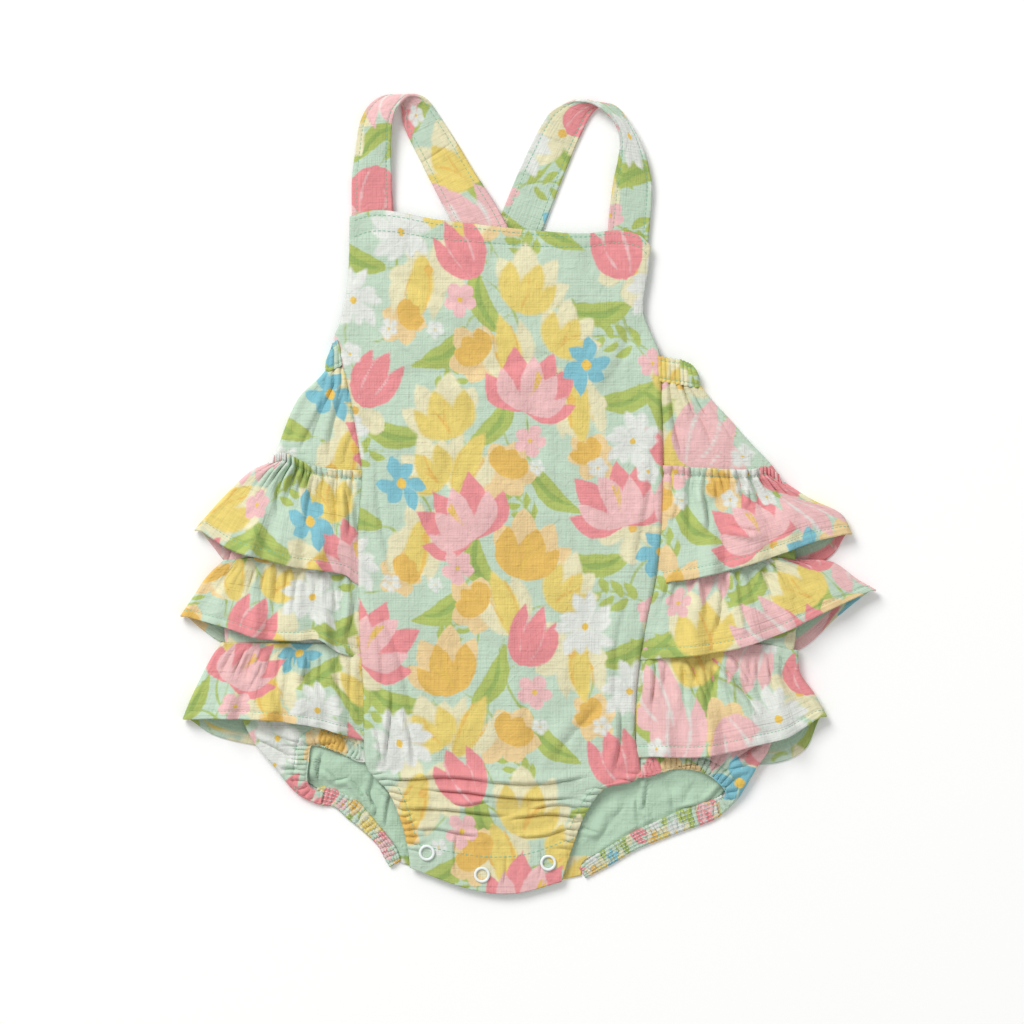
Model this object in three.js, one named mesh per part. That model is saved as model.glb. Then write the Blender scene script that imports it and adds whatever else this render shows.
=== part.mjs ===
// A baby romper of crinkled cotton muslin, laid flat on its back with its straps towards +Y.
// Millimetres, +Z up, z = 0 is the surface it lies on. "Left" is the viewer's left, at -X.
import * as THREE from "three";

// Cloth and layer heights (heights are those of a wall's middle)
const wall = 1.0;
const seamGap = 0.3;
const strapThickness = 1.6;
const casingThickness = 2.4;
const casingHeight = 13;
const bandThickness = 2.0;
const floorLayer = wall / 2;
const secondLayer = floorLayer + wall + seamGap;
const thirdLayer = secondLayer + wall + seamGap;
const bibHeight = 4.7;
const bodyHeight = 5.6;
const tabHeight = 4.3;
const underlap = 4;
const legRow = 10;
const bodyPuff = 2.6;
const tierSeat = wall + seamGap;
const tierLift = 3.6;
const tierStack = 1.6;
const tierWave = 2.0;
const gatherDepth = 0.32;
const gathersPerSide = 9;
const tuckDepth = 0.9;

// Snaps
const snap = { outer: 4.5, inner: 3.0, rise: 1.0, studRadius: 5, studLow: 1.3, studHigh: 3.3 };

// The centre front: its left and right edges, a row for each level from the neckline to the tab.
const centreRows = {
  columns: ["leftX", "leftY", "rightX", "rightY"],
  rows: [
    [-99.7, 155, 68.5, 138.5],
    [-100.2, 127.7, 67, 124],
    [-101.9, 110, 64.2, 105],
    [-105, 96, 66.2, 95],
    [-108.1, 86, 73.4, 77.8],
    [-101.6, 65, 74, 60],
    [-96.5, 39, 74.8, 34],
    [-92.6, 11, 75, 10.6],
    [-94.9, -20, 74, -22],
    [-94.6, -50, 71, -47],
    [-94.3, -76, 64.5, -78],
    [-92, -107, 60.4, -108],
    [-91.6, -135, 59.4, -134],
    [-89.6, -153.4, 61.5, -158],
    [-78.4, -166, 43, -164.4],
    [-71.3, -182, 32, -179],
    [-67.2, -198, 25.2, -196],
    [-66, -209, 18.6, -216.8],
  ],
};
const neckline = {
  columns: ["x", "y"],
  rows: [
    [-99.7, 155], [-88, 158.4], [-75.6, 158], [-51.5, 153.4], [-25.8, 150.4],
    [7.8, 146.9], [31.9, 145.6], [49.8, 147.3], [62, 144.6], [68.5, 138.5],
  ],
};
const frontTabHem = {
  columns: ["x", "y"],
  rows: [[-66, -209], [-48.7, -215.6], [-34.2, -220.5], [-18.5, -223.5], [-4, -223], [18.6, -216.8]],
};

// The side fronts: the seam with the centre front, then the leg opening, against the side fold.
const sideColumns = ["seamX", "seamY", "foldX", "foldY"];
const leftSideRows = {
  columns: sideColumns,
  rows: [
    [-104.6, 72.6, -112.6, 69.2],
    [-101.6, 65, -117, 64.2],
    [-98.7, 51.5, -128.2, 53],
    [-96, 33, -137.2, 32.5],
    [-92.6, 11, -143.5, 12],
    [-94, -12, -155.5, -12],
    [-94.6, -37, -167, -37],
    [-94.4, -60, -169.5, -60],
    [-93.5, -88, -169, -82],
    [-91.8, -120, -167, -100],
    [-92, -149, -164, -113],
    [-104, -144.3, -158.5, -128],
    [-112, -141.4, -154.5, -136],
    [-120.4, -140, -150.5, -142],
    [-122.6, -150, -141, -153],
    [-122.6, -158, -134.5, -161.5],
    [-122.4, -162, -129.5, -167],
  ],
};
const rightSideRows = {
  columns: sideColumns,
  rows: [
    [73.9, 63.5, 96.4, 60],
    [74.2, 52, 104, 50.5],
    [74.5, 42, 112.5, 41.5],
    [74.8, 30, 123, 29.5],
    [75, 10.6, 139.5, 10.6],
    [74.5, -11, 146, -12],
    [73, -36, 149, -37],
    [68.1, -63, 150, -63],
    [63.3, -91, 148, -88],
    [60, -118, 143, -112],
    [62.4, -157.6, 137, -134],
    [74, -155, 134, -143],
    [82, -153.6, 131, -148],
    [92, -154.2, 127.7, -152.5],
    [100, -156.9, 124, -159],
    [105.8, -160.9, 120.5, -165],
    [109, -166, 116.5, -170],
  ],
};

// The back below the side seams: the leg openings' edges down to the back tab.
const backLegRows = {
  columns: ["leftX", "leftY", "rightX", "rightY"],
  rows: [
    [-113.5, -162, 104.5, -171.2],
    [-103.6, -168.4, 87.9, -176.2],
    [-95.6, -172.5, 73.9, -182.4],
    [-85.6, -184, 57.5, -190.2],
    [-77.4, -194, 42.7, -199.2],
    [-73.2, -199.6, 31, -205.6],
    [-71.6, -206.4, 29.6, -213.6],
  ],
};
const backTabHem = {
  columns: ["x", "y"],
  rows: [[-71.6, -206.4], [-58, -210.5], [-40, -216.5], [-20, -220.5], [0, -219.8], [29.6, -213.6]],
};

// The elastic bands inside the back of the leg openings: inner edge against outline.
const bandColumns = ["innerX", "innerY", "outerX", "outerY"];
const leftBandRows = {
  columns: bandColumns,
  rows: [
    [-120.8, -163.4, -124.6, -170.6],
    [-113.4, -162.7, -117.2, -173.2],
    [-103.8, -169, -108.6, -174.8],
    [-95.9, -173.1, -101.4, -181],
    [-86, -184.5, -91, -189.6],
    [-77.8, -194.5, -84, -196.5],
    [-74.3, -199.9, -79.6, -204.4],
    [-72.7, -205.6, -77, -209],
  ],
};
const rightBandRows = {
  columns: bandColumns,
  rows: [
    [109, -169.6, 114.4, -174.2],
    [103.4, -172.4, 104.4, -181.8],
    [88, -177, 89.6, -187.4],
    [74.2, -183.2, 77.6, -191.8],
    [57.9, -191, 60.4, -198.8],
    [43.1, -200, 46, -207.2],
    [34.9, -205.6, 38.8, -211],
    [33.3, -210, 36, -214.2],
  ],
};

// The three tiers. Stations run from the centre seam to the side fold: gather line against hem.
// The fold rows run down the side fold, and back hem rows cross the back from left to right.
const tierColumns = ["topX", "topY", "hemX", "hemY"];
const foldColumns = ["x", "y"];
const tiers = [
  {
    name: "ruffle_upper",
    top: 10,
    phase: 0.4,
    backHeight: floorLayer,
    clearLine: 0,
    left: {
      columns: tierColumns,
      rows: [
        [-93.4, 8.6, -95.2, -48.2],
        [-103, 9, -102.8, -45],
        [-113, 10, -116, -42.6],
        [-123.4, 12.4, -130.5, -41],
        [-132, 16, -147, -37],
        [-139, 18.6, -168.6, -31.4],
        [-145, 17, -186.5, -20.5],
      ],
    },
    right: {
      columns: tierColumns,
      rows: [
        [75.6, 11.6, 73.4, -47.2],
        [88, 10.6, 85.4, -48.4],
        [101, 9.8, 105, -44.6],
        [114, 9.2, 122.6, -40],
        [126, 9.2, 141.7, -34],
        [136, 10.6, 161.6, -27],
        [143.6, 6, 181, -22.6],
      ],
    },
    leftFold: { columns: foldColumns, rows: [[-145, 17], [-155, 12.3], [-171.4, -3.4], [-186.5, -20.5]] },
    rightFold: { columns: foldColumns, rows: [[143.6, 6], [158.5, -3.4], [175, -11.6], [181, -22.6]] },
    backHem: {
      columns: foldColumns,
      rows: [
        [-186.5, -20.5], [-178.6, -29.7], [-168, -39], [-120, -47], [0, -50],
        [120, -47], [160, -40], [173.6, -33], [181, -22.6],
      ],
    },
  },
  {
    name: "ruffle_middle",
    top: -36,
    phase: 2.1,
    backHeight: secondLayer,
    clearLine: -52,
    left: {
      columns: tierColumns,
      rows: [
        [-95.2, -36.4, -94.6, -91],
        [-104, -36.2, -106, -88.4],
        [-117, -36, -116, -81.6],
        [-131, -35.8, -130, -81.9],
        [-145, -35.6, -151, -80.8],
        [-158, -35.6, -170, -75],
        [-169.5, -36.8, -194.3, -68.5],
      ],
    },
    right: {
      columns: tierColumns,
      rows: [
        [73.4, -35.8, 64.2, -91.8],
        [86, -35.6, 82, -91.3],
        [99, -35.4, 103, -89],
        [112, -35.2, 122, -85],
        [126, -35.2, 143, -77.6],
        [140, -35.4, 166, -67],
        [152, -37, 194.5, -54],
      ],
    },
    leftFold: { columns: foldColumns, rows: [[-169.5, -36.8], [-179.8, -47], [-187.8, -59], [-194.3, -68.5]] },
    rightFold: { columns: foldColumns, rows: [[152, -37], [170, -38.4], [184, -48], [194.5, -54]] },
    backHem: {
      columns: foldColumns,
      rows: [
        [-194.3, -68.5], [-184.8, -76], [-171, -83.4], [-120, -92], [0, -95],
        [110, -93], [150, -88], [172.5, -70], [194.5, -54],
      ],
    },
  },
  {
    name: "ruffle_lower",
    top: -84,
    phase: 4.3,
    backHeight: secondLayer,
    clearLine: -97,
    left: {
      columns: tierColumns,
      rows: [
        [-94.8, -84, -93, -136.6],
        [-104, -83.8, -105, -133.8],
        [-117, -83.6, -118, -130.2],
        [-131, -83.4, -136, -127.4],
        [-145, -83.2, -154, -126],
        [-158, -83, -173, -125.6],
        [-171, -83, -192.9, -126],
      ],
    },
    right: {
      columns: tierColumns,
      rows: [
        [64.6, -84.4, 62.4, -146],
        [78, -84.2, 76, -146.8],
        [91, -84, 92, -147.2],
        [104, -83.8, 109, -145.2],
        [118, -83.8, 126, -141],
        [135, -84, 147, -136],
        [150.5, -87, 166.9, -124.5],
      ],
    },
    leftFold: { columns: foldColumns, rows: [[-171, -83], [-177, -92], [-187.6, -113], [-192.9, -126]] },
    rightFold: { columns: foldColumns, rows: [[150.5, -87], [151.8, -100], [160, -112], [166.9, -124.5]] },
    backHem: {
      columns: foldColumns,
      rows: [
        [-192.9, -126], [-179, -134.4], [-152.3, -140.6], [-110, -146], [0, -148],
        [80, -150], [133, -151.4], [155.7, -143.4], [166.9, -124.5],
      ],
    },
  },
];

// The straps: outer and inner edge in space, from behind the bib, over the top and down the back.
const strapColumns = ["outerX", "outerY", "outerZ", "innerX", "innerY", "innerZ"];
const leftStrapRows = {
  columns: strapColumns,
  rows: [
    [-98.6, 144, 2.5, -75.6, 144, 2.5],
    [-98.6, 160, 2.5, -75.8, 161, 2.5],
    [-98.4, 176, 3.2, -76.4, 177, 3.9],
    [-96.3, 193, 4.0, -76.6, 196, 5.8],
    [-94, 207, 4.6, -76, 207, 7.2],
    [-89.6, 216, 4.6, -74, 214, 8.2],
    [-83, 221.4, 3.9, -70, 219.5, 7.8],
    [-75.5, 222.4, 2.6, -65, 222.8, 6.2],
    [-71, 217, 1.5, -57.5, 221, 4.0],
    [-69.5, 206, 0.9, -51, 213.5, 2.0],
    [-60, 186, 0.9, -41, 198.5, 1.0],
    [-52, 170, 1.7, -30, 180, 1.7],
    [-43.3, 153, 2.8, -17.5, 160.5, 2.8],
    [-31, 129, 2.8, -5.5, 137, 2.8],
    [-17, 101, 2.8, 9.5, 104, 2.8],
    [-7.4, 82, 2.6, 18.6, 82, 2.6],
  ],
};
const rightStrapRows = {
  columns: strapColumns,
  rows: [
    [66, 130, 2.5, 44, 130, 2.5],
    [68, 150, 2.5, 44.8, 151, 2.5],
    [69.3, 172, 3.2, 47.6, 175, 4.4],
    [67, 184, 3.6, 50.2, 187, 5.6],
    [61.8, 197.8, 3.9, 51, 199, 7.2],
    [56.2, 208, 3.8, 47.5, 208.5, 8.2],
    [51.5, 214.6, 3.4, 41, 215, 8.3],
    [46, 217.6, 2.6, 34, 219, 7.2],
    [40.5, 216.9, 1.7, 26.5, 220, 4.8],
    [35.5, 212.6, 1.1, 19, 217.5, 2.6],
    [30, 202, 0.95, 10.5, 211, 1.3],
    [21.4, 182, 0.85, -2.5, 186.5, 0.85],
    [7.8, 147, 0.82, -15.4, 155.4, 0.82],
    [-5, 116, 0.82, -28.5, 122.5, 0.82],
    [-18, 82, 0.82, -44, 82, 0.82],
  ],
};

// The elastic casing: lower edge against upper edge, from the left centre seam round the back.
const casing = {
  left: { seamX: -108.8, seamY: 79.7, foldX: -112.6, foldY: 76.5 },
  right: { seamX: 74.6, seamY: 70.6, foldX: 96.6, foldY: 67.2 },
  rise: 2,
  puckers: 5,
  puckerDepth: 0.45,
  lean: 5,
  leanReach: 4,
};
const snapPlaces = {
  columns: ["x", "y"],
  rows: [[-56.6, -200.5], [-25.8, -212.8], [11.2, -206.1]],
};

// 0 below a, 1 above b, and a smooth step between
function smooth(a, b, x) {
  const t = Math.min(1, Math.max(0, (x - a) / (b - a)));
  return t * t * (3 - 2 * t);
}

const mix = (a, b, t) => a + (b - a) * t;

// The columns called names of a table, as a smooth curve from 0 to 1 through its rows
function curveOf(table, names = table.columns) {
  const columns = names.map((name) => table.columns.indexOf(name));
  const points = table.rows.map((row) => columns.map((column) => row[column]));
  const times = [0];
  for (let i = 1; i < table.rows.length; i++) {
    const before = table.rows[i - 1];
    times.push(times[i - 1] + Math.hypot(...table.rows[i].map((value, k) => value - before[k])));
  }
  const last = points.length - 1;
  const slope = (i) => {
    const low = Math.max(0, i - 1);
    const high = Math.min(last, i + 1);
    return points[i].map((value, k) => (points[high][k] - points[low][k]) / (times[high] - times[low]));
  };
  return (share) => {
    const time = share * times[last];
    let i = 0;
    while (i < last - 1 && times[i + 1] < time) i++;
    const span = times[i + 1] - times[i];
    const t = (time - times[i]) / span;
    const [from, to] = [slope(i), slope(i + 1)];
    return points[i].map((value, k) =>
      (2 * t ** 3 - 3 * t ** 2 + 1) * value + (t ** 3 - 2 * t ** 2 + t) * span * from[k]
      + (3 * t ** 2 - 2 * t ** 3) * points[i + 1][k] + (t ** 3 - t ** 2) * span * to[k]);
  };
}

// A patch between four curves: across runs 0 to 1 from start to end, down from top to bottom
function patchOf(top, bottom, start, end) {
  const corners = [top(0), top(1), bottom(0), bottom(1)];
  return (across, down) => [0, 1].map((k) =>
    mix(top(across)[k], bottom(across)[k], down) + mix(start(down)[k], end(down)[k], across)
    - mix(mix(corners[0][k], corners[1][k], across), mix(corners[2][k], corners[3][k], across), down));
}

// A closed wall of the given thickness about the middle surface place(i, j), given at grid points
function sheetGeometry(columnCount, rowCount, place, thickness, shortDiagonals = false) {
  const middle = [];
  for (let j = 0; j < rowCount; j++)
    for (let i = 0; i < columnCount; i++) middle.push(new THREE.Vector3(...place(i, j)));
  const at = (i, j) => middle[j * columnCount + i];
  const positions = [];
  const offsets = [];
  for (let j = 0; j < rowCount; j++)
    for (let i = 0; i < columnCount; i++) {
      const along = at(Math.min(i + 1, columnCount - 1), j).clone().sub(at(Math.max(i - 1, 0), j));
      const down = at(i, Math.min(j + 1, rowCount - 1)).clone().sub(at(i, Math.max(j - 1, 0)));
      offsets.push(down.cross(along).normalize().multiplyScalar(thickness / 2));
    }
  for (const side of [1, -1])
    middle.forEach((point, n) => positions.push(...point.clone().addScaledVector(offsets[n], side)));
  const count = middle.length;
  const faces = [];
  const quad = (a, b, c, d) => faces.push(a, b, c, a, c, d);
  for (let j = 0; j + 1 < rowCount; j++)
    for (let i = 0; i + 1 < columnCount; i++) {
      const a = j * columnCount + i;
      const [b, c, d] = [a + columnCount, a + columnCount + 1, a + 1];
      const turned = shortDiagonals && middle[b].distanceTo(middle[d]) < middle[a].distanceTo(middle[c]);
      const [p, q, r, s] = turned ? [b, c, d, a] : [a, b, c, d];
      quad(p, q, r, s);
      quad(count + p, count + s, count + r, count + q);
    }
  const rim = [];
  for (let i = 0; i < columnCount - 1; i++) rim.push(i);
  for (let j = 0; j < rowCount - 1; j++) rim.push(j * columnCount + columnCount - 1);
  for (let i = columnCount - 1; i > 0; i--) rim.push((rowCount - 1) * columnCount + i);
  for (let j = rowCount - 1; j > 0; j--) rim.push(j * columnCount);
  rim.forEach((a, n) => {
    const b = rim[(n + 1) % rim.length];
    quad(a, b, count + b, count + a);
  });
  const geometry = new THREE.BufferGeometry();
  geometry.setAttribute("position", new THREE.Float32BufferAttribute(positions, 3));
  geometry.setIndex(faces);
  geometry.computeVertexNormals();
  return geometry;
}

// The height of the front of the body, and of the back, at a level y
function frontHeight(y) {
  return bibHeight + (bodyHeight - bibHeight) * smooth(60, 20, y) - (bodyHeight - tabHeight) * smooth(-158, -190, y);
}

function backHeight(y) {
  return floorLayer + (thirdLayer - floorLayer) * smooth(34, 15, y) * (1 - smooth(-150, -166, y));
}

// The x of the centre front's edge at a level y: the seam that the side fronts share with it
function centreSeam(side, y) {
  const edge = curveOf(centreRows);
  let [low, high] = [0, 1];
  for (let n = 0; n < 24; n++) {
    const share = (low + high) / 2;
    if (edge(share)[side < 0 ? 1 : 3] > y) low = share;
    else high = share;
  }
  return edge(low)[side < 0 ? 0 : 2];
}

// The casing's middle line across the back, and the back panel's top edge just below it
function casingLevel(x) {
  const { left, right, rise } = casing;
  const t = Math.min(1, Math.max(0, (x - left.foldX) / (right.foldX - left.foldX)));
  return mix(left.foldY, right.foldY, t) + rise * Math.sin(Math.PI * t);
}

// The centre front: a soft puff between the seams and folded tucks across the crotch
function centreFront() {
  const edges = curveOf(centreRows);
  const patch = patchOf(
    curveOf(neckline), curveOf(frontTabHem),
    (t) => edges(t).slice(0, 2), (t) => edges(t).slice(2),
  );
  const columnCount = 13;
  const rowCount = 31;
  return sheetGeometry(columnCount, rowCount, (i, j) => {
    const across = i / (columnCount - 1);
    const inset = seamGap / 2 * (1 - 2 * across);
    const [x, y] = patch(across, j / (rowCount - 1));
    const swell = Math.sin(Math.PI * across) ** 0.8;
    const puff = bodyPuff * smooth(165, 90, y) * smooth(-196, -150, y) * swell;
    const tuckZone = smooth(-148, -160, y) * smooth(-196, -186, y);
    const tuck = tuckDepth * tuckZone * swell * (1 + Math.cos((y + 168) * 2 * Math.PI / 12.6 + across * 2));
    return [x + inset, y, frontHeight(y) + puff + tuck];
  }, wall);
}

// The share of a curve's length at which it passes a table's row
function shareOfRow(table, n) {
  const steps = table.rows.slice(1).map((row, i) => Math.hypot(...row.map((value, k) => value - table.rows[i][k])));
  const sum = (values) => values.reduce((total, value) => total + value, 0);
  return sum(steps.slice(0, n)) / sum(steps);
}

// A side front: flat from the seam or the leg opening, round the side fold and a little way under.
// One of its rows lies where the seam ends and the opening starts.
function sideFront(table) {
  const edges = curveOf(table);
  const out = Math.sign(table.rows[0][0]);
  const flatColumns = 9;
  const arcColumns = 4;
  const columnCount = flatColumns + arcColumns + 1;
  const seamRows = 18;
  const rowCount = 28;
  const legShare = shareOfRow(table, legRow);
  return sheetGeometry(columnCount, rowCount, (i, j) => {
    const k = out > 0 ? i : columnCount - 1 - i;
    const share = j < seamRows ? legShare * j / seamRows : mix(legShare, 1, (j - seamRows) / (rowCount - 1 - seamRows));
    const [openX, seamY, foldX, foldY] = edges(share);
    const seamX = j < seamRows ? centreSeam(out, seamY) : openX;
    const [high, low] = [frontHeight(foldY), backHeight(foldY)];
    const radius = (high - low) / 2;
    if (k < flatColumns) {
      const t = k / (flatColumns - 1);
      const x = mix(seamX + out * 1.5 * seamGap, foldX - out * radius, t);
      return [x, mix(seamY, foldY, t), mix(frontHeight(seamY), high, t)];
    }
    const turn = Math.PI * Math.min(1, (k - flatColumns + 1) / arcColumns);
    const tuckUnder = k === columnCount - 1 ? underlap : 0;
    const x = foldX - out * (radius + tuckUnder - radius * Math.sin(turn));
    return [x, foldY, (high + low) / 2 + radius * Math.cos(turn)];
  }, wall, true);
}

// The back's edge at a side seam, where a side front ends underneath
function sideSeamPoint(table, share) {
  const out = Math.sign(table.rows[0][0]);
  const [, , foldX, foldY] = curveOf(table)(share);
  const radius = (frontHeight(foldY) - backHeight(foldY)) / 2;
  return [foldX - out * (radius + underlap + 2 * seamGap), foldY];
}

// The back panel: side seams down to the leg openings, then the openings' edges to the tab
function backPanel() {
  const seamEnd = 0.93;
  const seamShare = 0.72;
  const seams = (t) => [...sideSeamPoint(leftSideRows, t * seamEnd), ...sideSeamPoint(rightSideRows, t * seamEnd)];
  const legs = curveOf({ columns: backLegRows.columns, rows: [seams(1), ...backLegRows.rows] });
  const edges = (t) => (t < seamShare ? seams(t / seamShare) : legs((t - seamShare) / (1 - seamShare)));
  const [leftX, , rightX] = edges(0);
  const top = (t) => {
    const x = mix(leftX, rightX, t);
    return [x, casingLevel(x) - casingHeight / 2 - 2 * seamGap];
  };
  const patch = patchOf(top, curveOf(backTabHem), (t) => edges(t).slice(0, 2), (t) => edges(t).slice(2));
  const columnCount = 11;
  const rowCount = 30;
  return sheetGeometry(columnCount, rowCount, (i, j) => {
    const [x, y] = patch(i / (columnCount - 1), j / (rowCount - 1));
    return [x, y, backHeight(y)];
  }, wall);
}

// The height of a tier's front layer over the body: a share s from the seam to the side fold,
// and v from the gather line to the hem. Gathers near the seam open out into a few wide waves.
function tierHeight(tier, s, v) {
  const free = smooth(0.02, 0.2, s) * (1 - smooth(0.72, 1, s));
  const stack = tierStack * smooth(0.2, 0.6, v) * (1 - smooth(0.8, 1, s));
  const lift = tierLift * smooth(0.25, 0.9, v) * free;
  const wave = Math.sin(s * 4.4 * 2 * Math.PI + tier.phase) + 0.5 * Math.sin(s * 7.3 * 2 * Math.PI + 2 * tier.phase);
  const gathers = Math.cos(s * gathersPerSide * 2 * Math.PI) * smooth(0, 0.12, v) * smooth(0.6, 0.2, v);
  const waves = tierWave * smooth(0.3, 1, v) * free * wave;
  return bodyHeight + tierSeat + stack + lift + waves + gatherDepth * gathers * (1 - smooth(0.85, 1, s));
}

// One tier: a front patch, the side fold, the back patch lying under it, and the other side
function tierGeometry(tier) {
  const frontColumns = 27;
  const arcColumns = 3;
  const backColumns = 12;
  const rowCount = 7;
  // the back's columns stand closer together near the folds
  const endEase = 0.8;
  const foldHeight = (v) => tierHeight(tier, 1, v);
  const backLevel = (y) => mix(tier.backHeight, floorLayer, smooth(tier.clearLine, tier.clearLine - 6, y));
  const sides = [tier.left, tier.right].map((table, n) => {
    const rows = curveOf(table);
    const fold = curveOf(n ? tier.rightFold : tier.leftFold);
    const seam = (t) => [mix(rows(0)[0], rows(0)[2], t), mix(rows(0)[1], rows(0)[3], t)];
    const patch = patchOf((s) => rows(s).slice(0, 2), (s) => rows(s).slice(2), seam, fold);
    return { patch, fold, outward: n ? 1 : -1 };
  });
  const radius = (side, v) => (foldHeight(v) - backLevel(side.fold(v)[1])) / 2;
  const inFold = (side, v) => {
    const [x, y] = side.fold(v);
    return [x - side.outward * radius(side, v), y];
  };
  const [leftFold, rightFold] = sides;
  const [topLeft, topRight] = [inFold(leftFold, 0), inFold(rightFold, 0)];
  const backTop = (t) => [mix(topLeft[0], topRight[0], t), mix(topLeft[1], topRight[1], t)];
  const hem = curveOf(tier.backHem);
  const backBottom = (t) => {
    const inset = radius(leftFold, 1) * smooth(0.1, 0, t) - radius(rightFold, 1) * smooth(0.9, 1, t);
    return [hem(t)[0] + inset, hem(t)[1]];
  };
  const backPatch = patchOf(backTop, backBottom, (v) => inFold(leftFold, v), (v) => inFold(rightFold, v));
  const columns = [];
  for (let n = 0; n <= frontColumns; n++) columns.push({ side: leftFold, s: n / frontColumns });
  for (let n = 1; n <= arcColumns; n++) columns.push({ side: leftFold, turn: n / (arcColumns + 1) });
  for (let n = 0; n <= backColumns; n++) {
    const share = n / backColumns;
    columns.push({ back: share - endEase * Math.sin(2 * Math.PI * share) / (2 * Math.PI) });
  }
  for (let n = arcColumns; n >= 1; n--) columns.push({ side: rightFold, turn: n / (arcColumns + 1) });
  for (let n = frontColumns; n >= 0; n--) columns.push({ side: rightFold, s: n / frontColumns });
  return sheetGeometry(columns.length, rowCount, (i, j) => {
    const v = j / (rowCount - 1);
    const column = columns[i];
    if (column.back !== undefined) {
      const sag = 1 - Math.abs(2 * column.back - 1) ** 6;
      const [x, level] = backPatch(column.back, v);
      const y = level + (tier.top - backTop(column.back)[1]) * sag * (1 - v);
      return [x, y, backLevel(y)];
    }
    if (column.s !== undefined) {
      const [x, y] = column.side.patch(column.s, v);
      const inset = radius(column.side, v) * smooth(0.3, 1, column.s);
      return [x - column.side.outward * inset, y, tierHeight(tier, column.s, v)];
    }
    const [x, y] = inFold(column.side, v);
    const turn = column.turn * Math.PI;
    const bend = radius(column.side, v);
    return [x + column.side.outward * bend * Math.sin(turn), y, backLevel(y) + bend + bend * Math.cos(turn)];
  }, wall);
}

// A ribbon ruled between two edges in space
function ribbonGeometry(table, rowCount, columnCount, thickness, relief) {
  const edges = curveOf(table);
  const turned = table.rows[0][0] > table.rows[0][table.columns.length / 2];
  return sheetGeometry(columnCount, rowCount, (i, j) => {
    const across = turned ? 1 - i / (columnCount - 1) : i / (columnCount - 1);
    return relief(edges(j / (rowCount - 1)), across, j);
  }, thickness);
}

function strapGeometry(table) {
  return ribbonGeometry(table, 34, 4, strapThickness, ([ax, ay, az, bx, by, bz], across) => {
    const crown = 0.5 * Math.sin(Math.PI * across);
    const lift = Math.max(az, bz) > 1 ? crown : 0;
    return [mix(ax, bx, across), mix(ay, by, across), mix(az, bz, across) + lift];
  });
}

function bandGeometry(table) {
  return ribbonGeometry(table, 25, 3, bandThickness, ([ax, ay, bx, by], across, j) => {
    const pucker = across === 0.5 && j % 2 ? 0.45 : 0;
    return [mix(ax, bx, across), mix(ay, by, across), bandThickness / 2 + pucker];
  });
}

// The elastic top: a flat tube that runs from one centre seam round the back to the other
function casingGeometry() {
  const path = [];
  const low = casingThickness / 2;
  for (const side of [casing.left, casing.right]) {
    const out = Math.sign(side.foldX);
    const radius = (bibHeight - low) / 2;
    const stretch = [];
    const steps = out > 0 ? casing.puckers * 4 : 2;
    for (let n = 0; n <= steps; n++) {
      const t = n / steps;
      const ridge = n % 4 === 2 ? casing.puckerDepth : 0;
      const x = mix(side.seamX, side.foldX - out * radius, t);
      stretch.push([x, mix(side.seamY, side.foldY, t), bibHeight + ridge * (out > 0 ? 1 : 0)]);
    }
    for (let n = 1; n <= 4; n++) {
      const turn = Math.PI * n / 4;
      const x = side.foldX - out * radius + out * radius * Math.sin(turn);
      stretch.push([x, side.foldY, low + radius + radius * Math.cos(turn)]);
    }
    path.push(out > 0 ? stretch.reverse() : stretch);
  }
  const back = [];
  for (let n = 1; n < 12; n++) {
    const x = mix(casing.left.foldX + 8, casing.right.foldX - 8, n / 12);
    back.push([x, casingLevel(x), low]);
  }
  const line = [...path[0], ...back, ...path[1]];
  return sheetGeometry(line.length, 4, (i, j) => {
    const [x, y, z] = line[i];
    const { foldX } = x < 0 ? casing.left : casing.right;
    const lean = casing.lean * Math.max(0, 0.5 - j / 3) * smooth(casing.leanReach, 2, Math.abs(x - foldX));
    return [x - Math.sign(foldX) * lean, y + casingHeight * (0.5 - j / 3), z];
  }, casingThickness);
}

// A snap's open ring on the front tab, and its stud between the tabs
function ringGeometry() {
  const half = snap.rise / 2;
  const profile = [
    [snap.outer, -half], [snap.outer, half * 0.4], [snap.outer - 0.4, half], [snap.inner + 0.3, half],
    [snap.inner, half * 0.4], [snap.inner, -half], [snap.outer, -half],
  ].map(([r, z]) => new THREE.Vector2(r, z));
  return new THREE.LatheGeometry(profile, 16).rotateX(Math.PI / 2);
}

function studGeometry() {
  const half = (snap.studHigh - snap.studLow) / 2;
  const profile = [[0, -half], [snap.studRadius, -half], [snap.studRadius, half], [0, half]]
    .map(([r, z]) => new THREE.Vector2(r, z));
  return new THREE.LatheGeometry(profile, 18).rotateX(Math.PI / 2);
}

const printedCloth = { color: "#c5dcc6", roughness: 0.92, metalness: 0 };
const ruffleCloth = { color: "#d9d6a6", roughness: 0.92, metalness: 0 };
const strapCloth = { color: "#e3b8b5", roughness: 0.92, metalness: 0 };
const pearlPlastic = { color: "#e8efec", roughness: 0.35, metalness: 0 };

const romper = new THREE.Group();

function add(name, geometry, finish, position = [0, 0, 0]) {
  const mesh = new THREE.Mesh(geometry, new THREE.MeshStandardMaterial(finish));
  mesh.name = name;
  mesh.position.set(...position);
  romper.add(mesh);
}

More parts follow.
